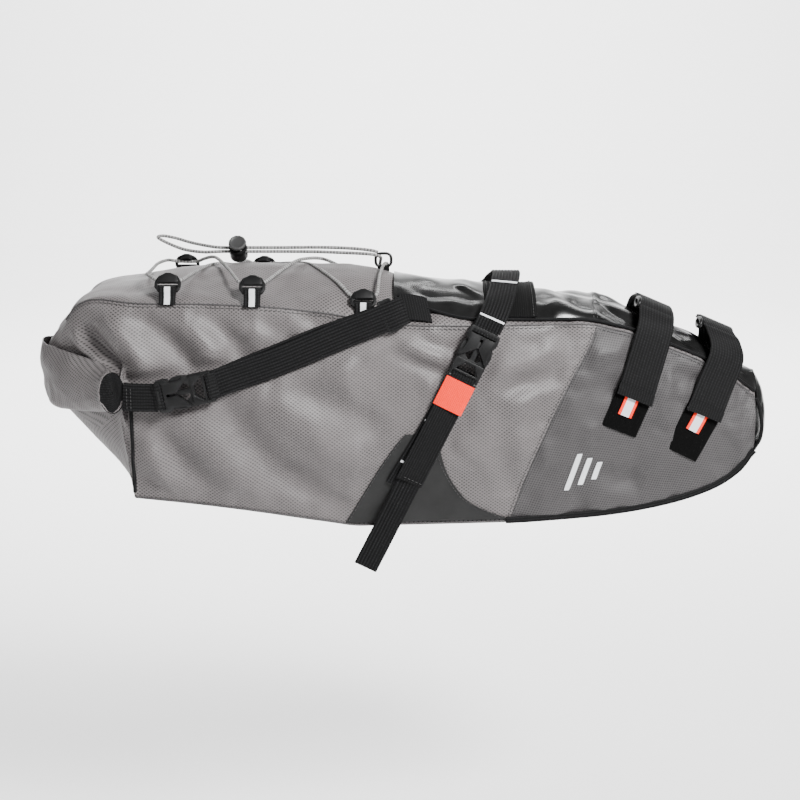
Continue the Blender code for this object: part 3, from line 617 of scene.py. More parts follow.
def make_paints():
    pack_cloth("cloth_grey", (0.006, 0.0055, 0.0055), (0.12, 0.109, 0.109), 4.1, 3.1, 0.0, 0.04, 0.5)
    pack_cloth("cloth_dark", (0.003, 0.003, 0.003), (0.052, 0.0485, 0.0495), 3.5, 2.8, 0.5, 0.03, 0.55)
    gloss = speckled("coated_black", 0.006, 0.2, 60.0, 0.8, 0.003, 0.01, specular_ior_level=0.35)
    gloss.rough(gloss.between(gloss.noise(35.0), 0.3, 0.7, 0.14, 0.26))
    gloss.bump(gloss.noise(160.0), 0.25, 0.2)
    patch = speckled("patch_black", 0.03, 0.6, 30.0, 0.7, 0.004, 0.009, sheen_weight=0.03,
                     specular_ior_level=0.3)
    patch.bump(patch.noise(420.0, 4.0), 0.25, 0.5)
    webbing("band_charcoal", (0.0005, 0.0005, 0.0005), (0.006, 0.006, 0.0063), 0.8, 1.9, 1.9, 0.8)
    webbing("webbing_black", (0.001, 0.001, 0.001), (0.013, 0.013, 0.014), 0.7, 2.778, 2.4)
    webbing("twill_black", (0.001, 0.001, 0.001), (0.012, 0.012, 0.013), 0.7, 2.3, 2.3, 1.0)
    webbing("webbing_red", (0.75, 0.02, 0.006), (1.0, 0.045, 0.016), 0.6, 1.6, 1.6)
    webbing("reflective_white", (0.62, 0.63, 0.65), (0.86, 0.87, 0.88), 0.35, 0.6, 0.6)
    fleece = Paint("hook_fleece", (0.004, 0.004, 0.004), 0.95, sheen_weight=0.02, specular_ior_level=0.05)
    fleece.colour(fleece.mix(fleece.noise(1600.0), (0.0002, 0.0002, 0.0002), (0.003, 0.003, 0.003)))
    fleece.bump(fleece.noise(1100.0), 0.9, 0.9)
    plastic("plastic_black", (0.004, 0.004, 0.0042), 0.36)
    plastic("plastic_grey", (0.03, 0.03, 0.03), 0.42)
    plastic("stiffener", (0.62, 0.62, 0.6), 0.5)
    plastic("spring_steel", (0.55, 0.55, 0.57), 0.28).set("Metallic", 1.0)
    thread = Paint("thread", (0.02, 0.02, 0.021), 0.6)
    u, v = thread.flat()
    ply = thread.wave(thread.math("ADD", u, thread.math("MULTIPLY", v, 0.1)), 0.7)
    thread.colour(thread.mix(thread.between(ply, -1.0, 1.0), (0.012, 0.012, 0.012), (0.045, 0.045, 0.045)))
    cord = Paint("cord_grey", (0.15, 0.15, 0.15), 0.7, specular_ior_level=0.25)
    u, v = cord.flat()
    strands = [cord.wave(cord.math(way, cord.math("MULTIPLY", u, 1.3), cord.math("MULTIPLY", v, 3.0)), 3.75)
               for way in ("ADD", "SUBTRACT")]
    braid = cord.between(cord.math("MULTIPLY", *strands), -0.6, 0.6)
    fleck = cord.math("MULTIPLY", cord.between(cord.wave(u, 3.2), 0.2, 0.8), braid)
    plain = cord.mix(braid, (0.14, 0.137, 0.135), (0.42, 0.415, 0.41))
    cord.colour(cord.mix(fleck, plain, (0.006, 0.006, 0.006)))
    cord.bump(braid, 0.35, 0.8)
    floor = Paint("floor_pale", (0.93, 0.93, 0.93), 0.85)
    floor.bump(floor.noise(40.0), 0.2, 0.1)


# ---- camera, light, floor -----------------------------------------------------------------------
CAMERA_TARGET = Vector((-0.0967, 0.0, -0.103))
CAMERA_DISTANCE = 1.6
CAMERA_RISE = math.radians(12.0)
VIEW_WIDTH = 0.744          # metres across the picture at the target
SENSOR = 36.0


def studio():
    lens = bpy.data.cameras.new("camera")
    lens.sensor_width = SENSOR
    lens.lens = SENSOR * CAMERA_DISTANCE / VIEW_WIDTH
    eye = new_object("camera", lens)
    look = Vector((0.0, math.cos(CAMERA_RISE), -math.sin(CAMERA_RISE)))
    eye.location = CAMERA_TARGET - look * CAMERA_DISTANCE
    eye.rotation_euler = look.to_track_quat("-Z", "Y").to_euler()
    bpy.context.scene.camera = eye
    lights = (
        ("key", (0.85, -1.25, 1.05), (0, 0, -0.1), 0.5, 108.0),
        ("side", (-1.7, -0.8, 0.5), (0, 0, -0.1), 0.6, 15.0),
        ("rim", (-0.9, 1.3, 0.8), (0, 0, -0.1), 0.8, 5.0),
        ("backdrop", (0.0, 2.2, 2.6), (0.0, 5.2, -0.2), 3.0, 620.0),
    )
    for name, where, aim, size, power in lights:
        lamp = bpy.data.lights.new(name, "AREA")
        lamp.shape = "SQUARE"
        lamp.size = size
        lamp.energy = power
        item = new_object(name, lamp)
        item.location = where
        item.rotation_euler = (Vector(aim) - Vector(where)).to_track_quat("-Z", "Y").to_euler()
    world = bpy.data.worlds.new("studio")
    world.use_nodes = True
    world.node_tree.nodes["Background"].inputs[0].default_value = (1.0, 1.0, 1.0, 1.0)
    world.node_tree.nodes["Background"].inputs[1].default_value = 0.22
    bpy.context.scene.world = world
    far = 20.0          # how far the floor runs to the sides and the front, in metres
    low = -0.62
    wall = 4.0          # where the floor starts to bend up
    bend = 1.5
    profile = [(-far, low), (wall, low)]
    for a in span(0.1, math.pi / 2, 10):
        profile.append((wall + bend * math.sin(a), low + bend - bend * math.cos(a)))
    profile.append((wall + bend, 6.0))
    mesh = bpy.data.meshes.new("floor")
    mesh.from_pydata([(x, y, z) for y, z in profile for x in (-far, far)], [],
                     [(2 * k, 2 * k + 1, 2 * k + 3, 2 * k + 2) for k in range(len(profile) - 1)])
    mesh.materials.append(PAINTS["floor_pale"])
    new_object("floor", mesh)


# ---- lacing -------------------------------------------------------------------------------------
def elastic_cord(lock_pieces):
    points = [Vector(p) for p in CORD_ROUTE]
    per = 6
    path = fine_path(points, per)
    made = tube("lacing_cord", points, CORD_DIAMETER / 2, sides=12, per=per)
    finish_piece(made, "cord_grey", "elastic_cord")
    round(route_length(path) * MM, 3)


# ---- bag shell ----------------------------------------------------------------------------------
MAIN_STATIONS = 84          # from the rear ring to the nose seam
NOSE_STATIONS = 48          # from the nose seam to the nose
MOUTH_STATIONS = 18         # from the rear ring to the roll
BOTTOM_STEPS = 12           # from the base's centre line to one edge
SIDE_STEPS = 40
TOP_STEPS = 32
GUSSET_Z = -62.0            # where the rear edge folds in below the roll's end
SEAM_END = 0.3              # where the top seams meet the roll, as a share of its half span
CLOTH_FRAMES = 14
# How far the simulation may push the cloth in, along its surface and out, in metres.
CAP_IN = 0.004
CAP_ALONG = 0.0015
SIDE_CAP = 0.0035
TOP_CAP = 0.0022
COVERED_TOP_CAP = 0.0008
BASE_CAP = 0.0005
LEAST_CAP = 0.0001
COVERED_FROM = -106         # the coated top covers the cloth forward of this x
REAR_FACING = 0.66          # faces with more x than this in their normal get the rear's weave
RING = 2 * BOTTOM_STEPS + 2 * SIDE_STEPS + TOP_STEPS

# Folds on the sides: start and end (x, z), half width, height (negative for a valley).
SIDE_FOLDS = (
    ((-378, -18), (-334, -76), 7, -9.0), ((-396, -26), (-352, -74), 8, 6.0),
    ((-358, -8), (-312, -76), 9, 7.0), ((-338, -4), (-268, -62), 9, -6.0),
    ((-300, -8), (-246, -56), 10, 5.5), ((-268, -8), (-222, -52), 9, -4.5),
    ((-246, -8), (-196, -46), 9, 4.5), ((-222, -10), (-162, -48), 10, -4.0),
    ((-196, -12), (-140, -44), 9, 3.6), ((-190, -8), (-120, -26), 8, -3.0),
    ((-400, -44), (-362, -56), 7, -4.0), ((-384, -52), (-336, -90), 8, -4.0),
    ((-300, -100), (-214, -178), 16, 4.5), ((-268, -84), (-168, -176), 15, -4.5),
    ((-232, -74), (-140, -150), 15, 4.5), ((-196, -62), (-108, -124), 13, -4.0),
    ((-160, -52), (-92, -96), 12, 3.5), ((-250, -120), (-160, -196), 14, -3.5),
    ((-104, -34), (-34, -58), 6, 4.5), ((-108, -42), (-44, -74), 7, -4.5),
    ((-112, -50), (-58, -92), 8, 4.0), ((-92, -34), (-22, -40), 6, -3.0),
    ((-332, -108), (-296, -182), 11, 4.5), ((-322, -96), (-262, -180), 12, -4.5),
    ((-16, -66), (40, -40), 9, 3.6), ((-10, -84), (52, -56), 10, -4.0),
    ((-6, -104), (40, -84), 10, 3.0), ((-4, -118), (40, -150), 13, 3.6),
    ((-8, -130), (16, -190), 11, -3.6), ((-150, -122), (-122, -196), 13, 3.8),
    ((-190, -140), (-150, -200), 12, -3.4), ((60, -50), (118, -40), 8, 2.8),
    ((74, -72), (122, -92), 9, -3.0), ((66, -110), (120, -150), 14, 3.0),
    ((148, -66), (184, -76), 8, -2.8), ((60, -150), (140, -170), 13, -2.6),
    ((140, -120), (190, -150), 12, 2.4),
)


def fold_height(x, z):
    """Height in millimetres that soft folds add at places (arrays) on a side."""
    total = np.zeros_like(x)
    for (x0, z0), (x1, z1), width, height in SIDE_FOLDS:
        dx = x1 - x0
        dz = z1 - z0
        size = dx * dx + dz * dz
        t = ((x - x0) * dx + (z - z0) * dz) / size
        bend = 5.0 * np.sin(t * 2.6 + x0)
        off = ((x - x0) * dz - (z - z0) * dx) / math.sqrt(size) + bend
        taper = np.clip(1.0 - np.abs(2.0 * t - 1.0) ** 3, 0.0, 1.0) * (t > 0) * (t < 1)
        total += 1.3 * height * taper * np.exp(-(off / width) ** 2)
    return total


def ring_layout():
    """Part, and place in it, of each point round the bag, from the base up the right side."""
    layout = [("base", -k / BOTTOM_STEPS) for k in range(BOTTOM_STEPS)]
    layout += [("right", k / SIDE_STEPS) for k in range(SIDE_STEPS)]
    layout += [("top", -1 + 2 * k / TOP_STEPS) for k in range(TOP_STEPS)]
    layout += [("left", 1 - k / SIDE_STEPS) for k in range(SIDE_STEPS)]
    layout += [("base", 1 - k / BOTTOM_STEPS) for k in range(BOTTOM_STEPS)]
    return layout


def shell_point(part, t, station):
    """Point of the shell: station 0 is the rear ring, 1 the nose seam and 2 the nose."""
    height = {"base": 0.0, "top": 1.0}.get(part, t)
    seam = smooth(NOSE_SEAM_X, -205 + 181 * height)
    if station <= 1:
        x = REAR_X + (seam - REAR_X) * station
    else:
        x = seam + (NOSE_X - seam) * (station - 1)
    if part == "base":
        return Vector((x, t * smooth(BOTTOM_HALF, x), smooth(BOTTOM_Z, x)))
    if part == "top":
        return on_top(x, t, 0.0)
    low = smooth(BOTTOM_Z, x)
    z = low + (smooth(SEAM_Z, x) + 1.0 - low) * t
    return on_side(x, z, 0.0, RIGHT if part == "right" else LEFT)


def roll_x(u):
    return ROLL_END_X + (ROLL_BACK_X - ROLL_END_X) * (1 - u * u) ** 2


def roll_height(u):
    return ROLL_END_HEIGHT + (ROLL_BACK_HEIGHT - ROLL_END_HEIGHT) * (1 - u * u)


def mouth_line(part, t, rear):
    """Where a point of the rear ring ends up along the rolled mouth."""
    if part == "top":
        u = SEAM_END * t
    elif part == "base":
        u = 0.86 * t
    else:
        way = -1 if part == "right" else 1
        above = min(1.0, (rear.z - GUSSET_Z) / (smooth(SEAM_Z, REAR_X) - GUSSET_Z))
        below = min(1.0, max(0.0, (GUSSET_Z - rear.z) / 60.0 - 0.2) / 1.7)
        u = way * (1.0 - (1.0 - SEAM_END) * above if above > 0 else 0.995 - 0.13 * below)
    if is_upper(part, rear):
        return Vector((roll_x(u) + 4.0 - 10.0 * (1 - u * u), u * ROLL_HALF_SPAN * 0.985,
                       ROLL_Z + roll_height(u) / 2 - 5.0 - 3.0 * (1 - u * u)))
    drop = roll_height(u) / 2 * 0.8
    if part != "base":
        drop *= min(1.0, max(0.0, (GUSSET_Z - rear.z) / 40.0))
    return Vector((roll_x(u) + 7.0, u * ROLL_HALF_SPAN * 0.94, ROLL_Z - drop))


def is_upper(part, rear):
    return part == "top" or (part != "base" and rear.z > GUSSET_Z)


def mouth_point(part, t, start, v):
    """Point of the collar, v from 0 at the rear ring to 1 at the roll."""
    stop = mouth_line(part, t, start)
    here = start.lerp(stop, v)
    way = {"right": -1, "left": 1}.get(part, 0)
    if part == "base":
        swell = 10.0 * v * (1 - v) * (1 - t * t)
        return here + Vector((-swell * 0.6, 0, -swell * 0.6))
    if is_upper(part, start):
        height = min(1.0, (start.z - GUSSET_Z) / 50.0)
        edge = t * t if part == "top" else height ** 2
        here.z = start.z + (stop.z - start.z) * v ** (1.0 + 1.8 * height + 1.2 * edge)
        here.z += 4.5 * edge * math.sin(math.pi * v)
        here.y = start.y + (stop.y - start.y) * v ** (1.0 + 0.7 * height)
        here.x -= 6.0 * height * math.sin(math.pi * v) * v
        here.y += way * 7.0 * math.sin(math.pi * v) * (1 - height)
        return here
    below = min(1.0, (GUSSET_Z - start.z) / 60.0)
    here.y += way * math.sin(math.pi * v) * (7.0 * (1 - below) - 9.0 * math.sin(math.pi * below))
    return here


def shell_rows():
    layout = ring_layout()
    rear = [shell_point(part, t, 0.0) for part, t in layout]
    rows = []
    for k in range(MOUTH_STATIONS, 0, -1):
        rows.append([mouth_point(part, t, start, k / MOUTH_STATIONS)
                     for (part, t), start in zip(layout, rear)])
    for k in range(MAIN_STATIONS):
        rows.append([shell_point(part, t, k / MAIN_STATIONS) for part, t in layout])
    for k in range(NOSE_STATIONS + 1):
        rows.append([shell_point(part, t, 1 + k / NOSE_STATIONS) for part, t in layout])
    return ease_rear(rows)


def ease_rear(rows):
    """Round off the turn from the sides and dome into the collar, above the roll's ends."""
    grid = np.array([[tuple(p) for p in row] for row in rows])
    upper = np.clip((grid[MOUTH_STATIONS, :, 2] - GUSSET_Z + 6.0) / 22.0, 0.0, 1.0)
    reach = np.zeros(len(rows))
    reach[2:MOUTH_STATIONS + 10] = 1.0
    share = 0.5 * reach[:, None, None] * upper[None, :, None]
    for _ in range(10):
        beside = (np.roll(grid, 1, axis=0) + np.roll(grid, -1, axis=0)) / 2
        grid = grid * (1 - share) + beside * share
    return [[Vector(p) for p in row] for row in grid]


SHELL = {}      # the finished shell's search tree, for laying pieces on it
SHELL_SEAMS = (BOTTOM_STEPS, BOTTOM_STEPS + SIDE_STEPS, BOTTOM_STEPS + SIDE_STEPS + TOP_STEPS,
               BOTTOM_STEPS + 2 * SIDE_STEPS + TOP_STEPS)
SEAM_ROW = MOUTH_STATIONS + MAIN_STATIONS       # the row of points at the nose seam
STRAP_PADS = (      # where straps press the cloth down: line ends (x, z) and half width
    ((-340, -84), (-267, -69.5), 17.0), ((-267, -69.5), (-200, -49.5), 17.0),
    ((-200, -49.5), (-76, -10), 17.0), ((-20, -25), (-110, -205), 19.0),
    ((137, -12), (100, -142), 22.0), ((206, -30), (164, -160), 22.0),
    ((-105, -75), (-75, -205), 30.0), ((-146, -200), (0, -204), 22.0),
    ((-110, -170), (-40, -180), 26.0),
)


def press_down(x, z):
    """Share, 0 to 1, by which the straps let the cloth stand out at places on a side."""
    free = np.ones_like(x)
    for (x0, z0), (x1, z1), width in STRAP_PADS:
        dx = x1 - x0
        dz = z1 - z0
        t = np.clip(((x - x0) * dx + (z - z0) * dz) / (dx * dx + dz * dz), 0.0, 1.0)
        away = np.hypot(x - x0 - t * dx, z - z0 - t * dz)
        free = np.minimum(free, np.clip((away - width * 0.75) / (width * 0.6), 0.0, 1.0))
    return free * free * (3 - 2 * free)


def simulate_shell(item, pins, cap_out):
    """Blow the sewn shell up a little with real cloth, and keep each point near its place."""
    before = np.array([v.co for v in item.data.vertices])
    group = item.vertex_groups.new(name="sewn")
    for index, weight in enumerate(pins):
        if weight > 0:
            group.add([index], float(weight), "REPLACE")
    cloth = item.modifiers.new("cloth", "CLOTH")
    cloth.settings.vertex_group_mass = "sewn"
    cloth.settings.quality = 4
    cloth.settings.mass = 0.2
    cloth.settings.tension_stiffness = 18
    cloth.settings.compression_stiffness = 18
    cloth.settings.shear_stiffness = 8
    cloth.settings.bending_stiffness = 1.2
    cloth.settings.shrink_min = -0.035
    cloth.settings.use_pressure = True
    cloth.settings.uniform_pressure_force = 1.2
    cloth.settings.effector_weights.gravity = 0.0
    cloth.collision_settings.use_collision = False
    cloth.point_cache.frame_end = CLOTH_FRAMES
    for number in range(1, CLOTH_FRAMES + 1):
        bpy.context.scene.frame_set(number)
    shaped = item.evaluated_get(bpy.context.evaluated_depsgraph_get())
    after = np.array([v.co for v in shaped.data.vertices])
    item.modifiers.clear()
    bpy.context.scene.frame_set(1)
    out = vertex_normals(item)
    moved = after - before
    rise = np.einsum("ij,ij->i", moved, out)
    slide = moved - rise[:, None] * out
    rise = np.where(rise > 0, cap_out * np.tanh(rise / cap_out), CAP_IN * np.tanh(rise / CAP_IN))
    size = np.linalg.norm(slide, axis=1, keepdims=True)
    slide *= np.minimum(1.0, CAP_ALONG / np.maximum(size, 1e-9))
    return before + slide + rise[:, None] * out


def vertex_normals(item):
    item.data.update()
    normals = np.zeros(len(item.data.vertices) * 3)
    item.data.vertices.foreach_get("normal", normals)
    return normals.reshape(-1, 3)


def on_a_side(ring, seam=0):
    """True where ring numbers lie on a side panel; with seam=1 its far seam counts too."""
    low, high, low_left, high_left = SHELL_SEAMS
    return (ring >= low) & (ring < high + seam) | (ring >= low_left) & (ring < high_left + seam)


def lay_weave(item):
    """Run the weave along the bag: sides use (x, z), the top and base (x, y), the rear (y, z)."""
    spots = np.array([item.data.vertices[c.vertex_index].co for c in item.data.loops])
    side = on_a_side(np.arange(len(spots)) // 4 % RING)
    facing = np.array([abs(face.normal.x) for face in item.data.polygons]).repeat(4)
    rear = facing > REAR_FACING
    run = np.where(rear, spots[:, 1], spots[:, 0])
    flat = np.where(side | rear, spots[:, 2], spots[:, 1])
    item.data.uv_layers["flat"].data.foreach_set("uv", np.stack((run, flat), axis=1).ravel())


def shell_pins(x, ring, station, near_seam, free):
    """How firmly each point is held in the simulation, and how far out it may go in metres."""
    side = on_a_side(ring, seam=1)
    top = (ring > SHELL_SEAMS[1]) & (ring < SHELL_SEAMS[2])
    base = ~side & ~top
    pins = np.zeros(len(x))
    pins[near_seam == 0] = 1.0
    pins[(station == 0) | (station == station.max())] = 1.0
    pins[side & (station == SEAM_ROW)] = 0.9
    pins[side & (free < 0.05)] = 0.6
    pins[base] = np.maximum(pins[base], 0.8)
    cap_out = np.where(side, SIDE_CAP * free + LEAST_CAP, TOP_CAP)
    cap_out[top & (x > COVERED_FROM)] = COVERED_TOP_CAP
    cap_out[base] = BASE_CAP
    return pins, cap_out


def shell_lift(start, ring, station, near_seam, free):
    """Folds, ripples and puckered seams, as a height over the swollen cloth in millimetres."""
    x, _, z = start.T
    side = on_a_side(ring, seam=1)
    base = ~side & ((ring <= SHELL_SEAMS[1]) | (ring >= SHELL_SEAMS[2]))
    from_nose_seam = np.abs(station - SEAM_ROW)
    edge = np.clip(near_seam / 5.0, 0.0, 1.0) * np.clip(from_nose_seam / 3.0, 0.0, 1.0)
    folds = fold_height(x, z)
    lift = np.where(folds > 0, folds * free, folds) * edge * side
    pucker = 0.35 * np.sin(x * 0.62 + 2.0 * np.sin(x * 0.09)) * np.exp(-((near_seam - 1.5) / 1.4) ** 2)
    nose_pucker = 0.35 * np.sin(z * 0.6 + 1.7 * np.sin(z * 0.11)) * side
    pucker += nose_pucker * np.exp(-((from_nose_seam - 1.6) / 1.3) ** 2)
    ripple = np.array([noise.fractal(Vector((a * 0.028, abs(b) * 0.045, c * 0.028)), 0.8, 2.0, 4)
                       for a, b, c in start])
    lift += ripple * 1.1 * edge * np.where(lift < 0, 1.0, free) * np.where(base, 0.2, 1.0)
    return lift + pucker * (station >= MOUTH_STATIONS) * ~base


def bag_shell():
    """The whole sewn shell as one loft, swollen and creased, then parted by its cloths."""
    rows = shell_rows()
    item = grid_object("pack_shell", rows, flat_lengths(rows, ring=True), ring=True)
    lay_weave(item)
    face_outwards(item.data)
    if vertex_normals(item)[(MOUTH_STATIONS + 40) * RING + BOTTOM_STEPS + 20][1] > 0:
        item.data.flip_normals()
    high = len(rows)
    start = np.array([tuple(p) for row in rows for p in row])
    x, _, z = start.T
    ring = np.tile(np.arange(RING), high)
    station = np.repeat(np.arange(high), RING)
    near_seam = np.min([np.abs(ring - s) for s in SHELL_SEAMS], axis=0)
    free = np.where(on_a_side(ring, seam=1), press_down(x, z), 1.0)
    shaped = start * MM
    shaped = simulate_shell(item, *shell_pins(x, ring, station, near_seam, free))
    lift = shell_lift(start, ring, station, near_seam, free)
    shaped = (shaped + vertex_normals(item) * (lift[:, None] * MM)).reshape(high, RING, 3)
    twin = shaped[:, -np.arange(RING) % RING] * np.array((1, -1, 1))
    shaped = (shaped + twin) / 2
    item.data.vertices.foreach_set("co", shaped.ravel())
    item.data.update()
    groups = [int(i >= SEAM_ROW and on_a_side(j)) for i in range(high - 1) for j in range(RING)]
    item.data.polygons.foreach_set("material_index", np.array(groups, np.int32))
    for name in ("cloth_grey", "cloth_dark"):
        item.data.materials.append(PAINTS[name])
    smoother(item).boundary_smooth = "PRESERVE_CORNERS"
    crease_seams(item)
    settle(item)
    SHELL["tree"] = BVHTree.FromObject(item, bpy.context.evaluated_depsgraph_get())
    nose = split_off(item, 1, "nose_cloth")
    finish_piece(thicken(item, CLOTH), "cloth_grey", "side_panel_right", "side_panel_left",
                 "top_panel", "base_panel", "mouth_collar", "rear_panel")
    finish_piece(thicken(nose, CLOTH), "cloth_dark", "nose_panel_right", "nose_panel_left")
    return shaped / MM


def crease_seams(item):
    """Keep the sewn lines crisp under smoothing."""
    with Shaping(item.data) as shape:
        layer = shape.edges.layers.float.new("crease_edge")
        for edge in shape.edges:
            a, b = (v.index for v in edge.verts)
            lines = {a % RING, b % RING}
            if len(lines) == 1 and lines & set(SHELL_SEAMS) and a // RING >= MOUTH_STATIONS - 1:
                edge[layer] = 0.75
            if a // RING == b // RING == MOUTH_STATIONS:
                if min(v.co.z for v in edge.verts) < (GUSSET_Z - 14) * MM:
                    edge[layer] = 0.8


def split_off(item, index, name):
    """Move the faces with a material index into an object of their own."""
    made = new_object(name, item.data.copy())
    for piece, wanted in ((item, False), (made, True)):
        with Shaping(piece.data) as shape:
            drop = [f for f in shape.faces if (f.material_index == index) != wanted]
            bmesh.ops.delete(shape, geom=drop, context="FACES")
        for face in piece.data.polygons:
            face.material_index = 0
    return made


# ---- both sides, stitches and small helpers -----------------------------------------------------
def mirror_copy(item, name):
    """The left side's twin of a right-side piece."""
    mesh = item.data.copy()
    mesh.transform(Matrix.Scale(-1, 4, Vector((0, 1, 0))))
    mesh.flip_normals()
    return new_object(name, mesh)


def pair(item, paint, *nodes, body="bag", slot=None, bend=None):
    """Finish a right-side piece and its left twin; {} in a name stands for the side."""
    twin = mirror_copy(item, item.name + "_left")
    item.name = item.name + "_right"
    for side, piece in ((RIGHT, item), (LEFT, twin)):
        word = SIDES[side]
        names = [n.format(word) for n in nodes]
        finish_piece(piece, paint, *names, body=None if bend else body.format(word), slot=slot)
        if bend:
            first, second, start, stop = bend
            mirrored(start, side) * MM
            mirrored(stop, side) * MM
            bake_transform(piece)


def stitches(name, points, outs, length=2.5, gap=1.3):
    """A row of thread stitches along a line on a surface."""
    steps = 400
    fine = [spline_point(points, k / steps) for k in range(steps + 1)]
    runs = np.cumsum([0.0] + [(b - a).length for a, b in zip(fine, fine[1:])])
    profile = ((0.0, -0.5, 0.35), (0.15, 0.5, 0.9), (0.5, 0.9, 1.0), (0.85, 0.5, 0.9), (1.0, -0.5, 0.35))
    sides = 6
    verts = []
    faces = []
    for number in range(int(route_length(points) / (length + gap))):
        first = len(verts)
        for k, (share, rise, size) in enumerate(profile):
            run = number * (length + gap) + share * length
            at = float(np.interp(run, runs, np.arange(steps + 1))) / steps
            out = spline_point(outs, at).normalized()
            across = out.cross(heading(points, at, 0.003)).normalized()
            for s in range(sides):
                a = math.tau * s / sides
                off = out * (rise + math.sin(a) * size) + across * (math.cos(a) * size)
                verts.append((spline_point(points, at) + off * THREAD_RADIUS) * MM)
            for s in range(sides if k else 0):
                t = (s + 1) % sides
                upper = first + k * sides
                lower = upper - sides
                faces.append((lower + s, lower + t, upper + t, upper + s))
        for start in (first, first + 4 * sides):
            faces.append(tuple(range(start, start + sides)))
    mesh = bpy.data.meshes.new(name)
    mesh.from_pydata(verts, [], faces)
    face_outwards(mesh)
    corners = [mesh.vertices[c.vertex_index].co for c in mesh.loops]
    give_flat(mesh, [(co.x, co.z) for co in corners])
    return new_object(name, mesh)


def sew(name, points, outs, slot, body="bag", **looks):
    """Thread stitches on both sides of the bag."""
    pair(stitches(name, points, outs, **looks), "thread", body=body, slot=slot)


NEAR_SIDE = 15.0            # cloth nearer to the middle than this isn't taken for the side's


def laid(x, z, lift):
    """Point on the swollen cloth of the right side, lifted outwards.

    Where a ray from the side finds no cloth on the near side, the plain shape is used.
    """
    hit = SHELL["tree"].ray_cast(Vector((x, -200, z)) * MM, Vector((0, 1, 0)))[0]
    if hit is None or hit.y > -NEAR_SIDE * MM:
        return on_side(x, z, lift)
    return hit / MM + side_out(x, z) * lift


def side_line(places, lift):
    """Points and outward directions along (x, z) places on the right side's cloth."""
    return [laid(x, z, lift) for x, z in places], [side_out(x, z) for x, z in places]


def rail_point(run, lift, aside=0.0):
    """Point a run down the rail strap's line on the right side, some way aside of the line."""
    x = RAIL_BUCKLE_TOP[0] + RAIL_STRAP_FALL[0] * run + RAIL_STRAP_FALL[1] * aside
    z = RAIL_BUCKLE_TOP[1] + RAIL_STRAP_FALL[1] * run - RAIL_STRAP_FALL[0] * aside
    return on_side(x, z, lift)


def rail_route(stations):
    points = [rail_point(run, lift, aside) for run, lift, aside in stations]
    return points, [side_out(p.x, p.z) for p in points]


def patch_grid(name, point, columns, rows, thickness):
    """A thin piece over the bag: point(s, t) gives its outer face for s and t from 0 to 1."""
    grid = [[point(s, t) for s in span(0.0, 1.0, columns)] for t in span(0.0, 1.0, rows)]
    item = grid_object(name, grid, flat_lengths(grid))
    middle = item.data.polygons[len(item.data.polygons) // 2]
    if middle.normal.dot(middle.center - Vector((-0.05, 0, -0.1))) < 0:
        item.data.flip_normals()
    return thicken(item, thickness)


# ---- coated top, nose and roll ------------------------------------------------------------------
TOP_FRONT_X = -102.0        # where the glossy cover starts, at the dome
TOP_LENGTH = 332.0
COVER_SEAM_X = 82.0         # the seam across the cover
TOP_REACH = ((-102, 0.7), (-30, 0.95), (60, 0.97))       # x, share of the top's half width


def coated_top():
    """Glossy crumpled cover from the dome's front to the nose."""
    def point(s, t):
        x = TOP_FRONT_X + TOP_LENGTH * s
        a = (-1 + 2 * t) * smooth(TOP_REACH, x)
        edge = min(1.0, 5.0 * min(s, 1 - s, t, 1 - t) ** 0.8)
        band = clamp((abs(x - 2.0) - 24.0) / 16.0)
        slant = x + 26.0 * a
        ridge = noise.noise(Vector((slant * 0.021, a * 1.5, 3.0))) * 1.7
        small = noise.noise(Vector((slant * 0.052, a * 3.2, 9.0)))
        seam = 2.0 * math.exp(-((x - COVER_SEAM_X - 4 * a) / 3.0) ** 2)
        rise = (7.0 * ridge + 2.0 * small) * edge
        rise *= (1.0 if rise < 0 else 0.35 + 0.65 * band) * (0.4 + 0.6 * band)
        rise += seam * edge
        return on_top(x, a, 3.3) + Vector((0, 0.25 * a, 1.0)).normalized() * max(-1.4, min(5.0, rise))

    finish_piece(patch_grid("coated_top", point, 150, 56, 0.8), "coated_black", "rail_top_panel")
    for number, shift in enumerate((-1.7, 1.7), 1):
        line = [on_top(COVER_SEAM_X + shift + 4 * a, a, 5.1) for a in span(-0.95, 0.95, 24)]
        sewn = stitches(f"coated_seam_{number}", line, [Vector((0, 0, 1))] * len(line))
        finish_piece(sewn, "thread", slot="coated_black")
    points = [on_top(x, -smooth(TOP_REACH, x), 3.2) for x in span(TOP_FRONT_X + 1, NOSE_X, 60)]
    pair(tube("coated_binding", points, 1.3, sides=8, per=2), "twill_black", slot="coated_black")


def nose_half(z):
    """Half width of the nose's front face at a height."""
    return side_half(NOSE_X, z) + 0.4


def nose_front():
    centre = [Vector(p) for p in ((231, 0, -76), (239, 0, -92), (242, 0, -114), (240, 0, -134),
                                  (232, 0, -150))]
    edge = [Vector(p) for p in ((231, 0, -97), (234.5, 0, -106), (236, 0, -120), (235, 0, -134),
                                (231, 0, -145))]

    def point(s, t):
        mid = spline_point(centre, t)
        rim = spline_point(edge, t)
        a = -1 + 2 * s
        puff = 0.7 * noise.noise(Vector((a * 2.0, t * 5.0, 4.0)))
        return mid + (rim - mid) * a * a + Vector((puff * (1 - a * a), nose_half(mid.z) * a, 0))

    finish_piece(patch_grid("nose_front_cloth", point, 24, 40, 1.2), "coated_black", "nose_front_panel")
    points = [spline_point(edge, t) + Vector((-1.0, -nose_half(spline_point(centre, t).z) - 0.3, 0))
              for t in span(0.0, 1.0, 14)]
    pair(tube("nose_binding", points, 1.7, sides=8, per=2), "twill_black", slot="webbing_black")


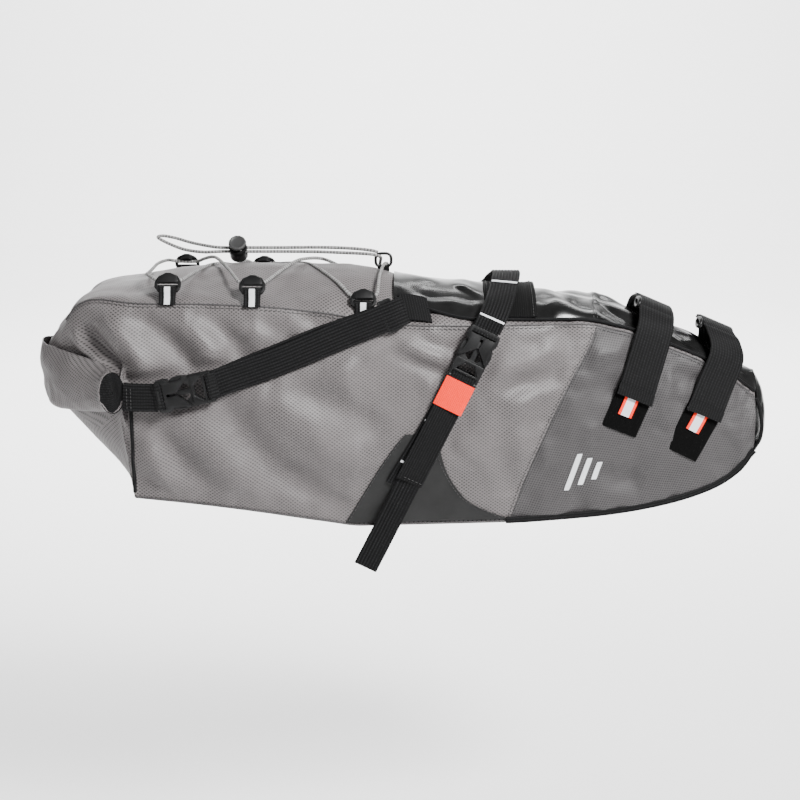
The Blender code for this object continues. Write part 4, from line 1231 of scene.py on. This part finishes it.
def roll_frame(u):
    """Centre of the roll at a place along it, and its horizontal direction away from the bag."""
    step = 0.01
    run = Vector((roll_x(u + step) - roll_x(u - step), 2 * step * ROLL_HALF_SPAN, 0))
    return Vector((roll_x(u), u * ROLL_HALF_SPAN, ROLL_Z)), Vector((-run.y, run.x, 0)).normalized()


def roll_point(u, share):
    """Point of the rolled cloth: u along the roll, share from its outer edge to its core."""
    centre, out = roll_frame(u)
    angle = math.pi / 2 - math.tau * ROLL_TURNS * share
    shrink = 1 - (1 - ROLL_CORE) * share
    c = math.cos(angle)
    s = math.sin(angle)
    flat = math.copysign(abs(c) ** (1.15 + 0.8 * max(0.0, s) * (1 - share)), c)
    crease = noise.fractal(Vector((u * 5.5, s * 1.4 + share * 3.0, c * 0.9)), 0.8, 2.0, 4)
    pinch = noise.noise(Vector((u * 9.0, share * 4.0, 7.0)))
    bulge = 1.0 + 0.16 * crease - 0.05 * (1 - abs(s))
    end = max(0.0, abs(u) - 0.86) / 0.14
    flare = 1.0 + 0.10 * end * end * (1 - share)
    lean = (1.0 + 9.0 * (1 - u * u)) * max(0.0, s) ** 1.6 * (1 - share)
    here = centre + out * (ROLL_THICK / 2 * shrink * flat * bulge * flare + lean)
    here.z += roll_height(u) / 2 * shrink * s * (1 + 0.03 * crease) * flare
    sunk = 26.0 * clamp(6.0 * share - 1.8)
    here.y += (1.8 * pinch - sunk) * end * math.copysign(1.0, u)
    return here


def rolled_mouth():
    """The mouth rolled up on itself: a flattened spiral of cloth, pinched at its top fold."""
    rows = [[roll_point(u, share) for share in span(0.0, 1.0, 140)] for u in span(-1.0, 1.0, 96)]
    item = grid_object("rolled_mouth", rows, flat_lengths(rows))
    centre, _ = roll_frame(0.0)
    face = min(item.data.polygons, key=lambda f: (f.center - rows[48][18] * MM).length)
    if face.normal.dot(face.center - centre * MM) < 0:
        item.data.flip_normals()
    smoother(item)
    finish_piece(thicken(item, CLOTH), "cloth_grey", "roll_closure")
    pair(tube("roll_hem", rows[0][2:58], 0.9, sides=8), "cloth_grey")
    # Inside each end of the roll lies a puckered sheet of cloth, recessed a little; it is painted near black
    # as painted shade of the deep recess there.
    tucked = []
    for radius in span(0.04, 0.96, 14):
        ring = []
        for k in range(40):
            c = radius * math.cos(math.tau * k / 40)
            s = radius * math.sin(math.tau * k / 40)
            depth = 0.1 + 0.6 * math.sin(6.0 * c + 2.0 * s)
            depth += 0.4 * noise.noise(Vector((c * 2.2, s * 2.2, 5.0)))
            ring.append(Vector((ROLL_END_X + ROLL_THICK / 2 * c,
                                -ROLL_HALF_SPAN + depth * min(1.0, 2 - 2 * radius),
                                ROLL_Z + ROLL_END_HEIGHT / 2 * s)))
        tucked.append(ring)
    shaded_tuck = grid_object("roll_end_shaded_tuck", tucked, flat_lengths(tucked, ring=True), ring=True)
    # The tuck is the grey cloth; its black paint is painted shade of the recess.
    pair(thicken(shaded_tuck, 0.6), "twill_black", slot="cloth_grey")


def wear_patches():
    front = ((-202, 2), (-190, -26), (-180, -39), (-152, -56), (-124, -64), (-119, -68))
    back = ((-202, -146), (-124, -97), (-119, -92))

    def point(s, t):
        z = -202.0 + 83.0 * t
        x = smooth(back, z) + (smooth(front, z) - smooth(back, z)) * s
        swell = 0.2 * noise.noise(Vector((x * 0.04, z * 0.04, 1.0)))
        return laid(x, max(z, smooth(BOTTOM_Z, x) + 2.0), 1.5 + swell)

    pair(patch_grid("wear_patch", point, 48, 36, 1.0), "patch_black", "reinforcement_patch_{}")
    for name, places in (
            ("patch_rear_stitch", [(-143, -200), (-126, -170), (-111, -145), (-95, -123)]),
            ("patch_front_stitch", [(-6, -200), (-30, -187), (-43, -178), (-58, -153), (-67, -126)])):
        sew(name, *side_line(places, 1.7), "patch_black")


# ---- seams, bindings and the mark ---------------------------------------------------------------
def nose_seam_places(shift):
    """Places (x, z) up the nose seam, moved along the bag."""
    places = []
    for share in span(0.015, 0.985, 40):
        x = smooth(NOSE_SEAM_X, -205 + 181 * share)
        low = smooth(BOTTOM_Z, x)
        places.append((x + shift, low + (smooth(SEAM_Z, x) - low) * share))
    return places


def seams(shell):
    for number, shift in enumerate((-2.2, 1.4), 1):
        sew(f"nose_seam_{number}", *side_line(nose_seam_places(shift), 0.5), "cloth_grey")
    stations = range(4, len(shell) - 1, 2)
    line = [Vector(shell[i][SHELL_SEAMS[1]]) for i in stations]
    pair(tube("top_seam_welt", line, 0.8, sides=6, per=2), "cloth_dark", slot="cloth_grey")
    below = [Vector(shell[i][SHELL_SEAMS[1] - 1]) for i in stations]
    outs = [Vector((-0.1 if p.x < REAR_X else 0.0, -1, 0.25)).normalized() for p in line]
    points = [p + (q - p).normalized() * 3.0 + out * 0.35 for p, q, out in zip(line, below, outs)]
    sew("top_seam", points, outs, "cloth_grey", length=2.8, gap=1.2)
    low = [Vector((x, -smooth(BOTTOM_HALF, x) - 0.6, smooth(BOTTOM_Z, x) + 0.6))
           for x in span(REAR_X + 1, 4.0, 60)]
    pair(tube("base_piping", low, 1.1, sides=8, per=2), "cloth_dark", slot="cloth_grey")
    nose = [on_side(x, smooth(BOTTOM_Z, x) + 1.7, 2.9) for x in span(0.0, NOSE_X + 1.0, 50)]
    binding = ribbon("nose_base_binding", nose, [Vector((0, -1, -0.15))] * len(nose), 6.0, 2.4,
                     step=3.0, edge=0.5)
    pair(binding, "twill_black", slot="webbing_black")
    # A thin dark tube down the rear edge, painted black as painted shade of the deep crease between the side
    # and the rear.
    points, _ = side_line([(REAR_X + 0.6, z) for z in span(-172.0, GUSSET_Z - 22, 16)], 0.2)
    pair(tube("rear_edge_crease_shade", points, 1.7, sides=8, per=2), "twill_black", slot="webbing_black")


def mark():
    """Plain reflective bars on the nose panels."""
    for number, (x, length) in enumerate(((60.0, 34.0), (71.0, 25.0), (82.0, 16.0)), 1):
        def point(s, t, x=x, length=length):
            along = length * (t - 0.5)
            ends = 1 - 0.12 * max(0.0, abs(2 * t - 1) - 0.8) / 0.2
            return laid(x + 5.0 * (s - 0.5) * ends + along * 0.34, -158.0 + along, 0.8)

        pair(patch_grid(f"reflective_bar_{number}", point, 4, 16, 0.5), "reflective_white")


# ---- buckles and straps -------------------------------------------------------------------------
OUTWARD = Vector((0, -1, 0))        # away from the bag, on its right side
# The last stations of the webbing round a buckle's bars: (u, w) and the outward direction (u, w).
SOCKET_WRAP = ((6.0, 2.6, 1, 0.3), (5.2, -1.0, 1, -1), (2.0, -3.8, 0, -1))
PLUG_WRAP = ((47.8, 4.2, -0.4, 1), (44.6, 3.6, -1, 0.8), (43.7, 0.0, -1, 0),
             (44.6, -3.0, -1, -0.8), (48.0, -3.6, 0, -1))


def socket_layers():
    """Side-release socket: a slotted head and two shells that leave the arms' sides open."""
    half = ((1.0, -13.8), (7.5, -14.6), (12.0, -13.6), (14.0, -11.0), (23.0, -11.6), (26.0, -14.2),
            (30.0, -13.6), (19.6, -2.6))
    shell = rounded((*half, (16.4, 0.0), *((u, -v) for u, v in reversed(half))), 1.4)
    slot = box_outline(2.8, 6.2, 11.5)
    groove = box_outline(8.6, 17.0, 1.3, 1.2)
    head = rounded(((0, -13.4), (8.8, -14.6), (8.8, 14.6), (0, 13.4)), 1.8)
    return (((head, slot), -4.2, 4.0, 0.7, 0.0),
            ((shell, slot, groove), 2.75, 4.3, 0.45, 0.5),
            ((shell, slot), -4.3, -2.75, 0.45, 0.0))


def plug_layers():
    """Plug: two arms with lobes, a raised rim round its opening, and a bar for the webbing."""
    arm = ((31, 14.0), (27.5, 13.6), (26.2, 14.6), (22.0, 15.0), (16.0, 14.2), (12.5, 12.0), (11.2, 9.5),
           (12.8, 8.4), (19, 9.6), (25.5, 8.4), (29.3, 5.0), (29.3, 2.2), (12.2, 2.0), (11.4, 1.0))
    outer = (*arm, *((u, -v) for u, v in reversed(arm)), (BUCKLE_LENGTH, -13.8), (BUCKLE_LENGTH, 13.8))
    opening = rounded(((33.8, -4.2), (41.2, -10.6), (41.2, 10.6), (33.8, 4.2)), 1.4)
    bar_slot = box_outline(43.6, 46.6, 11.5, 0.8)
    rim = box_outline(31.0, 42.6, 13.8, 1.2)
    inner = rounded(((32.6, -4.6), (41.4, -12.0), (41.4, 12.0), (32.6, 4.6)), 1.2)
    bar = box_outline(47.2, 49.6, 13.6, 1.0)
    lobes = [rounded(((17.5, way * 14.6), (25.2, way * 14.6), (26.4, way * 13.2), (16.4, way * 12.8)), 1.0)
             for way in (-1, 1)]
    return (((rounded(outer, 0.7, 3), opening, bar_slot), -2.3, 2.3, 0.5, 0.0),
            ((rim, inner), 2.0, 3.2, 0.5, 0.3), ((bar,), -2.9, 3.1, 1.0, 0.0),
            *(((lobe,), -2.45, 2.45, 0.6, 0.0) for lobe in lobes))


def buckle(kind, at, socket_wrap, plug_wrap):
    """Both sides' buckles and the webbing round their bars; a wrap is (name, paint, stations)."""
    for part, layers, wrap, tail, width, body in (
            ("socket", socket_layers(), socket_wrap, SOCKET_WRAP, 22.6, "bag"),
            ("plug", plug_layers(), plug_wrap, PLUG_WRAP, 22.4, kind + "_plug_{}")):
        pair(moulding(f"{kind}_{part}", layers, at), "plastic_black", f"{kind}_buckle_{part}_{{}}", body=body)
        name, paint, stations = wrap
        stations += tail
        points = [at @ Vector((u, 0, w)) for u, w, _, _ in stations]
        outs = [at.to_3x3() @ Vector((a, 0, b)) for _, _, a, b in stations]
        pair(ribbon(name, points, outs, width, THIN_WEBBING, ribs=7), paint, body=body, slot="webbing_black")


def rail_band():
    """The wide band that the rail strap runs over, with its hems."""
    middle = [on_top(2.0, a, 6.0) for a in span(-0.97, 0.97, 48)]
    outs = [Vector((0, p.y * 0.9, 55.0)).normalized() for p in middle]
    item = ribbon("rail_band_cloth", middle, outs, 46.0, 1.3, step=3.0, edge=0.8)
    finish_piece(item, "band_charcoal", "rail_band")
    for number, shift in enumerate((-20.0, 20.0), 1):
        line = [p + Vector((shift, 0, 0.35)) for p in middle]
        finish_piece(ribbon(f"rail_band_hem_{number}", line, outs, 6.5, 0.7, step=3.0, edge=0.3),
                     "band_charcoal")
        sewn = stitches(f"rail_band_stitch_{number}", [p + Vector((0, 0, 0.2)) for p in line], outs)
        finish_piece(sewn, "thread", slot="band_charcoal")


def tracer(name, points, outs, width):
    """A short reflective bar across a strap."""
    pair(ribbon(name, points, outs, width, 0.4, step=0.4, edge=0.15), "reflective_white")


def rail_strap():
    """The strap over the rails, from one rail buckle to the other."""
    half = [((-20.0, -70.5, -24.4), (0, -1, 0.05)), ((-14, -67, -12), (0, -0.9, 0.45)),
            ((-8, -53, 0), (0, -0.65, 0.75)), ((-3, -30, 11), (0, -0.4, 0.9)),
            ((0, -11, 17.2), (0, -0.2, 1)), ((0, 0, 18.6), (0, 0, 1))]
    whole = half + [(mirrored(p, LEFT), mirrored(n, LEFT)) for p, n in reversed(half[:-1])]
    points = [Vector(p) for p, _ in whole]
    outs = [Vector(n).normalized() for _, n in whole]
    item = ribbon("rail_strap_webbing", points, outs, WEBBING_WIDTH, WEBBING, ribs=9, wave=0.25)
    finish_piece(item, "webbing_black", "rail_strap")
    for number, t in enumerate((0.075, 0.31), 1):
        out = spline_point(outs, t)
        spots = [spline_point(points, t + d) + out * 0.35 for d in (-0.006, 0.0, 0.006)]
        tracer(f"rail_tracer_{number}", spots, [out] * 3, 23.0)


def rail_fastening():
    top = rail_point(0.0, BUCKLE_LIFT)
    at = place(top, rail_point(BUCKLE_LENGTH, BUCKLE_LIFT) - top, OUTWARD)
    rail_band()
    rail_strap()
    buckle("rail", at,
           ("rail_strap_wrap", "webbing_black", ((-1.5, 1.6, 0, 1), (1.2, 4.6, -0.5, 1), (4.6, 4.9, 0.3, 1))),
           ("plug_webbing_wrap", "twill_black", ((52.5, 0.9, 0, 1), (50.6, 2.2, 0, 1))))
    stations = [(run, 3.4 + 0.0075 * (run - 44), aside) for run, aside in
                ((40, 0), (60, 0.5), (80, 1), (100, 2), (120, 3), (140, 4.5), (162, 6))]
    item = ribbon("anchor_webbing", *rail_route(stations), WEBBING_WIDTH, THIN_WEBBING, ribs=9)
    pair(item, "webbing_black", "anchor_strap_{}")
    for number, (run, aside) in enumerate(((95.0, 2.0), (138.0, 4.4)), 1):
        tracer(f"anchor_tracer_{number}", *rail_route([(run + d, 4.75, aside) for d in (-1, 0, 1)]), 22.0)
    adjuster(top, at)
    strap_tail()


def adjuster(top, at):
    """The strap that pulls the rail buckle down, with its red pull tab."""
    more, facing = rail_route([(run, 8.2, 0) for run in (76, 105, 130, 153)])
    start = top + at.to_3x3() @ Vector((BUCKLE_LENGTH + 0.6, 0, 0.9))
    item = ribbon("adjuster_webbing", [start] + more, [OUTWARD] + facing, WEBBING_WIDTH, WEBBING, ribs=12,
                  rib_height=0.1, wave=0.2)
    pair(item, "twill_black", "adjuster_strap_{}", body="rail_plug_{}", slot="webbing_black")
    points = [rail_point(run, 9.0 - 0.01 * (run - 50)) + OUTWARD * 1.1 for run in (49.5, 57, 65, 72, 77.5)]
    tab = ribbon("pull_tab", points, [OUTWARD] * 5, 27.5, 2.9, step=2.0, edge=0.9, wave=0.15)
    pair(tab, "webbing_red", body="rail_plug_{}")
    spots = [rail_point(run, 10.4, -10.5) for run in (51.5, 60, 68, 76)]
    pair(stitches("pull_tab_stitch", spots, [OUTWARD] * 4, length=2.2, gap=0.9), "webbing_red",
         body="rail_plug_{}")
    spots = [rail_point(149.5, 8.5, a) for a in (-11, -4, 4, 11)]
    sew("adjuster_end_stitch", spots, [OUTWARD] * 4, "webbing_black", body="rail_plug_{}")


def strap_tail():
    """The loose end below the adjuster."""
    start = rail_point(150.0, 6.6)
    stop = rail_point(241, 0.0)
    low = Vector((stop.x, start.y - 1.5, stop.z))
    points = [start] + [start.lerp(low, t) + OUTWARD * (1.2 * math.sin(math.pi * t))
                        for t in (0.2, 0.4, 0.6, 0.8, 0.96)] + [low]
    item = ribbon("tail_webbing", points, [OUTWARD] * 7, 21.5, WEBBING, ribs=7, wave=0.35)
    pivot = rail_point(154.5, 8.0)
    ahead = (low - start).normalized()
    pair(item, "webbing_black", "strap_tail_{}",
         bend=("rail_plug_{}", "tail_{}", pivot - ahead * 3.0, pivot + ahead * 9.0))
    spots = [low - ahead * back + OUTWARD * out for back, out in ((12.0, 0.5), (6.0, 0.6), (0.4, 0.6))]
    hem = ribbon("tail_hem", spots, [OUTWARD] * 3, 21.5, 2.4, ribs=7, step=1.5)
    pair(hem, "webbing_black", body="tail_{}")


def side_strap(name, places, thickness, *nodes):
    """Webbing along (x, z, lift) places, from the roll's plug to the bag."""
    points = [on_side(*place) for place in places]
    outs = [side_out(x, min(z, -14)) for x, z, _ in places]
    item = ribbon(name, points, outs, WEBBING_WIDTH, thickness, ribs=9, wave=0.3)
    ahead = Vector((ROLL_STRAP_RISE[0], 0, ROLL_STRAP_RISE[1]))
    start = on_side(*ROLL_STRAP_START)
    pair(item, "webbing_black", *nodes, bend=("roll_plug_{}", "bag", start - ahead * 2, start + ahead * 95))


def roll_fastening():
    rear = Vector((ROLL_BUCKLE_REAR[0], -94.5, ROLL_BUCKLE_REAR[1]))
    run = Vector((ROLL_STRAP_RISE[0] * BUCKLE_LENGTH, 2.5, ROLL_STRAP_RISE[1] * BUCKLE_LENGTH))
    buckle("roll", place(rear, run, OUTWARD),
           ("roll_tab_wrap", "webbing_black", ((-3.5, 0.8, 0, 1), (0.4, 4.4, -0.5, 1), (4.6, 4.8, 0.3, 1))),
           ("roll_plug_wrap", "webbing_black", ((54.0, -0.4, 0, 1), (51.0, 2.0, 0, 1))))
    points = [Vector((-339, -93.2, -80.2)), Vector((-332, -94.4, -80.8)), Vector((-322, -94.8, -81)),
              rear + Vector((0.5, -0.9, -0.4))]
    item = ribbon("roll_tab_webbing", points, [OUTWARD] * 4, WEBBING_WIDTH, WEBBING, ribs=9)
    pair(item, "webbing_black", "roll_tab_{}")
    for number, x in enumerate((-335.5, -332.0), 1):
        spots = [Vector((x, -94.7, z)) for z in span(-91.0, -69.0, 3)]
        sew(f"roll_tab_stitch_{number}", spots, [OUTWARD] * 4, "webbing_black", length=2.2, gap=1.0)

    side_strap("roll_strap_webbing", (
        ROLL_STRAP_START, (-250, -66.5, 6.6), (-236, -62, 4.8), (-200, -49.5, 3.6), (-150, -29, 3.6),
        (-116, -15.6, 6.6), (-102, -10.0, 7.6), (-91.5, -6.0, 6.4)), WEBBING, "roll_strap_{}")
    # The strap's doubled layer lies under it and shows as a second edge above.
    side_strap("roll_strap_under_layer", (
        (-248, -66.0, 3.6), (-225, -56.4, 2.2), (-200, -46.6, 1.7), (-165, -32.4, 1.7),
        (-140, -24.0, 1.8), (-116, -15.4, 3.0)), 1.2)

    slots = [box_outline(u, u + 2.8, 11.6, 0.8) for u in (2.4, 7.8)]
    bars = [box_outline(u, u + 2.4, 14.6, 1.1) for u in (0.0, 10.6)]
    layers = (((box_outline(0, 13, 15, 2.4), *slots), -1.6, 1.6, 0.5, 0.0),
              ((bars[0],), -1.9, 2.6, 0.9, 0.0), ((bars[1],), -1.9, 2.3, 0.9, 0.0))
    lock_at = place(on_side(-112, -13.6, 4.0), Vector((0.92, 0.05, 0.38)), OUTWARD)
    pair(moulding("strap_lock", layers, lock_at), "plastic_black", "strap_lock_{}")

    def tab(s, t):
        rise = 7.4 - 3.6 * t + math.sin(math.pi * s) - 1.6 * s
        return on_top(-98.0 + 25.0 * s + 5.0 * t, -0.70 - 0.29 * t, rise)

    pair(patch_grid("lock_tab_webbing", tab, 24, 16, 1.4), "twill_black", "lock_tab_{}",
         slot="webbing_black")


# ---- seatpost straps ----------------------------------------------------------------------------
HALF_STRAP = SLOPE * SEATPOST_WIDTH / 2     # from a seatpost strap's middle to its front edge


def side_edges(spot, lift):
    """Both edge points of a seatpost strap at an (x, z) place on the side."""
    return [on_side(spot[0] + way * HALF_STRAP.x, spot[1] + way * HALF_STRAP.z, lift) for way in (-1, 1)]


def over_edges(x, y, z):
    """Both edge points of a seatpost strap at a place above the bag."""
    return [Vector((x, y, z)) + HALF_STRAP * way for way in (-1, 1)]


def wide_ribbon(name, edges, thickness, ribs, rib_height=0.22, share=1.0):
    """A wide strap through pairs of edge points on its outer face."""
    lows, highs = zip(*edges)
    mids = [(a + b) / 2 for a, b in edges]
    stations = []
    for t in span(0.0, 1.0, max(6, int(route_length(mids) / 1.6))):
        low = spline_point(lows, t)
        high = spline_point(highs, t)
        reach = (high - low) * (share / 2)
        stations.append(((low + high) / 2, reach, reach.cross(heading(mids, t)).normalized()))
    return slab(name, stations, SEATPOST_WIDTH, thickness, ribs, ribs * 4, rib_height, 0.5, 0.04, 0.0, 60)


def seatpost_strap(name):
    """A strap over the nose and its peelable end on the right, with all that is sewn to it."""
    hinge, low, top = (Vector(spot) for spot in SEATPOST_STRAPS[name])
    lift = 3.4
    flap = "flap_" + name
    half = side_half(*hinge) + lift
    shoulder = Vector(((hinge.x + top.x) / 2, half * 0.8, top.y - 7.0))
    inner = Vector((top.x - 1, half * 0.42, top.y - 1.5))
    edges = [over_edges(top.x - 0.3, 3.0, top.y - 0.2), over_edges(top.x, 0.0, top.y),
             over_edges(*mirrored(inner, LEFT)), over_edges(*mirrored(shoulder, LEFT)),
             side_edges(hinge + Vector((0.4, 1.6)), lift), side_edges(hinge.lerp(low, 0.5), lift),
             side_edges(low, lift)]
    piece = wide_ribbon(f"seatpost_webbing_{name}_right", edges, 2.0, 8)
    twin = mirror_copy(piece, f"seatpost_webbing_{name}_left")
    finish_piece(piece, "webbing_black", "seatpost_" + flap, "seatpost_strap_" + name, body=None)
    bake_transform(piece)
    finish_piece(twin, "webbing_black")
    # Second layer over the top, with the ring that the strap doubles back through.
    layer = [(shoulder[0], -shoulder[1] * 0.93, shoulder[2] - 0.5), mirrored(inner, LEFT),
             (top.x, 0.0, top.y), inner]
    layer = [over_edges(x, y, z + 1.9)[::-1] for x, y, z in layer]
    finish_piece(wide_ribbon(f"seatpost_layer_{name}", layer, 1.7, 8, share=0.95), "webbing_black")
    centre = Vector((inner.x, -inner.y * 1.1, inner.z - 1.0)) - SLOPE * (SEATPOST_WIDTH / 2 + 1.2)
    across = Vector((0, 1, 0.25)).normalized()
    rise = SLOPE.cross(across).normalized()
    points = [centre + across * (6.5 * math.cos(a)) + rise * (3.4 * math.sin(a))
              for a in span(0.0, math.tau, 24)]
    finish_piece(tube(f"seatpost_ring_{name}", points, 1.8), "plastic_black")
    # Stitched end, pull label and the fleece patch that the strap grips.
    end = [side_edges(hinge.lerp(low, s), lift + 1.3) for s in (0.83, 0.915, 1.0)]
    piece = wide_ribbon(f"seatpost_end_{name}", end, 1.5, 16, rib_height=0.1, share=1.03)
    finish_piece(piece, "twill_black", body=flap, slot="webbing_black")
    for number, s in enumerate((0.845, 0.98), 1):
        spot = hinge.lerp(low, s)
        a, b = side_edges(spot, lift + 1.5)
        line = [a.lerp(b, t) for t in (0.03, 0.35, 0.65, 0.97)]
        sewn = stitches(f"seatpost_stitch_{name}_{number}", line, [side_out(*spot)] * 4)
        finish_piece(sewn, "thread", body=flap, slot="webbing_black")
    fall = (low - hinge).normalized()
    lean = Vector((fall.x - 0.12, fall.y)).normalized()

    def on_nose(along, aside, height):
        return on_side(low.x + lean.x * along - lean.y * aside, low.y + lean.y * along + lean.x * aside,
                       height)

    fleece_length = 46.0 if name == "rear" else 55.0

    def fleece(s, t):
        pile = 0.5 * noise.noise(Vector((s * 40, t * 44, 2.0)))
        rim = min(1.0, 12 * min(s, 1 - s, t, 1 - t))
        height = 1.35 + 0.7 * (0.55 + pile) * rim ** 0.5
        return on_nose(-14 + fleece_length * t, 34.0 * (s - 0.5) - 1.0, height)

    finish_piece(patch_grid(f"fleece_patch_{name}", fleece, 60, 80, 0.9), "hook_fleece")
    for word, first, last, paint in (("red_1", -6.6, -3.9, "webbing_red"),
                                     ("white", -3.9, 3.9, "reflective_white"),
                                     ("red_2", 3.9, 6.6, "webbing_red")):
        def label(s, t, first=first, last=last):
            return on_nose(-3 + 20.0 * t, first + (last - first) * s - 2.0, 3.4 - 0.6 * t * t)

        piece = patch_grid(f"pull_label_{word}_{name}", label, 4, 12, 0.6)
        finish_piece(piece, paint, body=flap, slot="label")


# ---- hooks, rings and the cord lock -------------------------------------------------------------
def arch(*corners):
    """Corners (u, v) on one side of a hook's middle, and their twins on the other."""
    return [(u, -v) for u, v in corners] + [(u, v) for u, v in reversed(corners)]


def cord_hooks():
    """Six domed hooks, each on a webbing loop with a reflective stripe."""
    up = Vector((0, 0.6, 0.8))
    out = Vector((0, -0.8, 0.6))
    ring = rounded(arch((8.2, 8.6), (11.5, 11.6), (16.6, 11.6), (22.8, 8.4), (25.6, 2.8)), 2.6)
    window = rounded(((10.8, -8.8), (15.4, -9.0), (15.4, 9.0), (10.8, 8.8)), 1.8)
    cap = rounded(arch((15.5, 9.6), (22.2, 7.4), (25.2, 2.2)), 2.4)
    wall = rounded(arch((22.4, 6.8), (25.2, 2.4)), 1.2, 3)
    back = rounded(arch((8.4, 8.6), (11.5, 10.6), (15.0, 10.6)), 1.6, 3)
    layers = (((ring, window), 1.9, 3.4, 0.6, 0.0), ((cap,), 2.6, 4.4, 0.8, 0.8),
              ((wall,), -1.6, 2.6, 0.6, 0.0), ((back,), -1.2, 1.2, 0.6, 0.0))
    stations = ((-4.6, 0.9), (0.0, 1.0), (4.0, 2.2), (8.0, 4.6), (11.0, 4.6), (12.6, 2.0), (11.6, -1.4),
                (8.0, -1.4), (3.0, -0.6))
    outs = [out, out, out - up * 0.3, out - up * 0.2, out + up * 0.5, up, up - out, -out, -out]
    outs = [n.normalized() for n in outs]
    for number, x in enumerate(HOOK_X, 1):
        base = Vector((x, -smooth(SEAM_HALF, x) - 0.2, smooth(SEAM_Z, x) + 4.4))
        hook = moulding(f"cord_hook_{number}", layers, place(base, up, out))
        pair(hook, "plastic_black", f"cord_hook_{number}_{{}}")
        points = [base + up * a + out * b for a, b in stations]
        loop = ribbon(f"hook_loop_{number}", points, outs, 14.6, 1.2, ribs=5, step=1.2)
        pair(loop, "webbing_black", f"hook_loop_{number}_{{}}")
        stripe = ribbon(f"hook_stripe_{number}", [p + n * 0.3 for p, n in zip(points[:5], outs)],
                        outs[:5], 5.2, 0.35, step=1.2, edge=0.12)
        pair(stripe, "reflective_white")


def front_ring():
    """The ring that both ends of the cord reach, on its tab."""
    at = place(Vector((-112, 14, 18.8)), Vector((0, 0, 1)), OUTWARD)
    corners = rounded(((1.2, -7.2), (1.2, 7.2), (13.4, 7.2), (13.4, -7.2)), 5.4, 6)
    points = [at @ Vector((u, v, 0)) for u, v in corners + corners[:1]]
    finish_piece(tube("front_ring", points, 1.4), "plastic_black", "front_cord_ring")
    foot = [Vector((-112, 13.2, z)) for z in (14.6, 17.4, 20.6)]
    tab = ribbon("front_ring_tab", foot, [OUTWARD] * 3, 11.0, 1.4, ribs=3, step=1.2)
    finish_piece(tab, "webbing_black")


SLOT_WIDTH = 8.8
SLOT_BOTTOM = -2.2


def cord_lock():
    """Barrel, spring and button of the cord lock, slotted where the cords pass."""
    at = place(LOCK_CENTRE, Vector((1, 0, 0)), Vector((0, -0.75, 0.66)))
    barrel = ((0.0, -10.0), (7.2, -10.0), (8.4, -8.9), (8.5, 3.6), (8.0, 4.9), (6.6, 5.1), (5.7, 4.6),
              (5.6, -6.9), (0.0, -7.0))
    stem = ((0.0, -3.3), (4.9, -3.3), (5.2, -3.0), (5.2, 9.2), (7.9, 9.4), (8.3, 10.2), (7.9, 11.6),
            (6.6, 12.0), (5.4, 11.4), (0.0, 11.2))
    body = turned("lock_barrel", barrel, at, slot_top=2.2)
    finish_piece(body, "plastic_black", "cord_lock_body", body="cord_lock")
    button = turned("lock_button", stem, at, slot_top=6.6)
    finish_piece(button, "plastic_grey", "cord_lock_button", body="cord_lock_button")
    turns = [at @ Vector((3.2 * math.cos(math.tau * k / 16), 3.2 * math.sin(math.tau * k / 16),
                          -6.5 + 2.6 * k / 48)) for k in range(49)]
    spring = tube("lock_spring", turns, 0.35, sides=8)
    finish_piece(spring, "spring_steel", "cord_lock_spring", body="cord_lock")
    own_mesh(spring)
    return [body, button, spring]


def turned(name, profile, at, slot_top, sides=48):
    """A turned moulding about the frame's w axis, with the slot that the cords pass.

    Each part of the profile is cut in three; its wide upper parts get grip ribs.
    """
    rows = []
    profile = [Vector(corner) for corner in profile]
    for k in range(3 * len(profile) - 2):
        lower = profile[k // 3]
        radius, height = lower.lerp(profile[min(k // 3 + 1, len(profile) - 1)], k % 3 / 3)
        row = []
        for angle in (math.tau * s / sides for s in range(sides)):
            grip = 0.25 * max(0.0, math.cos(12 * angle)) if radius > 6.0 and height > 9.3 else 0.0
            reach = radius - grip
            row.append(at @ Vector((reach * math.cos(angle), reach * math.sin(angle), height)))
        rows.append(row)
    made = grid_object(name, rows, flat_lengths(rows, ring=True), ring=True)
    with Shaping(made.data) as shape:
        bmesh.ops.remove_doubles(shape, verts=shape.verts, dist=1e-6)
        bmesh.ops.recalc_face_normals(shape, faces=shape.faces)
    cutter = new_object("slot", bpy.data.meshes.new("slot"))
    with Shaping(cutter.data) as shape:
        bmesh.ops.create_cube(shape, size=1.0)
        bmesh.ops.scale(shape, vec=(40.0, SLOT_WIDTH, slot_top - SLOT_BOTTOM), verts=shape.verts)
        bmesh.ops.translate(shape, vec=(0, 0, (slot_top + SLOT_BOTTOM) / 2), verts=shape.verts)
        bmesh.ops.transform(shape, matrix=Matrix.Scale(MM, 4) @ at, verts=shape.verts)
    step = made.modifiers.new("slot", "BOOLEAN")
    step.operation = "DIFFERENCE"
    step.object = cutter
    settle(made)
    bpy.data.objects.remove(cutter)
    return made


def hidden_parts():
    """CAD pieces that keep their shape and take a finished material."""
    for node in ("closure_stiffener", "base_stiffener"):
        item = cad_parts[node]
        item.data.materials.clear()
        item.data.materials.append(PAINTS["stiffener"])


make_paints()
studio()
elastic_cord(cord_lock())
shell_points = bag_shell()
coated_top()
nose_front()
rolled_mouth()
wear_patches()
seams(shell_points)
mark()
rail_fastening()
roll_fastening()
for strap_name in SEATPOST_STRAPS:
    seatpost_strap(strap_name)
cord_hooks()
front_ring()
hidden_parts()
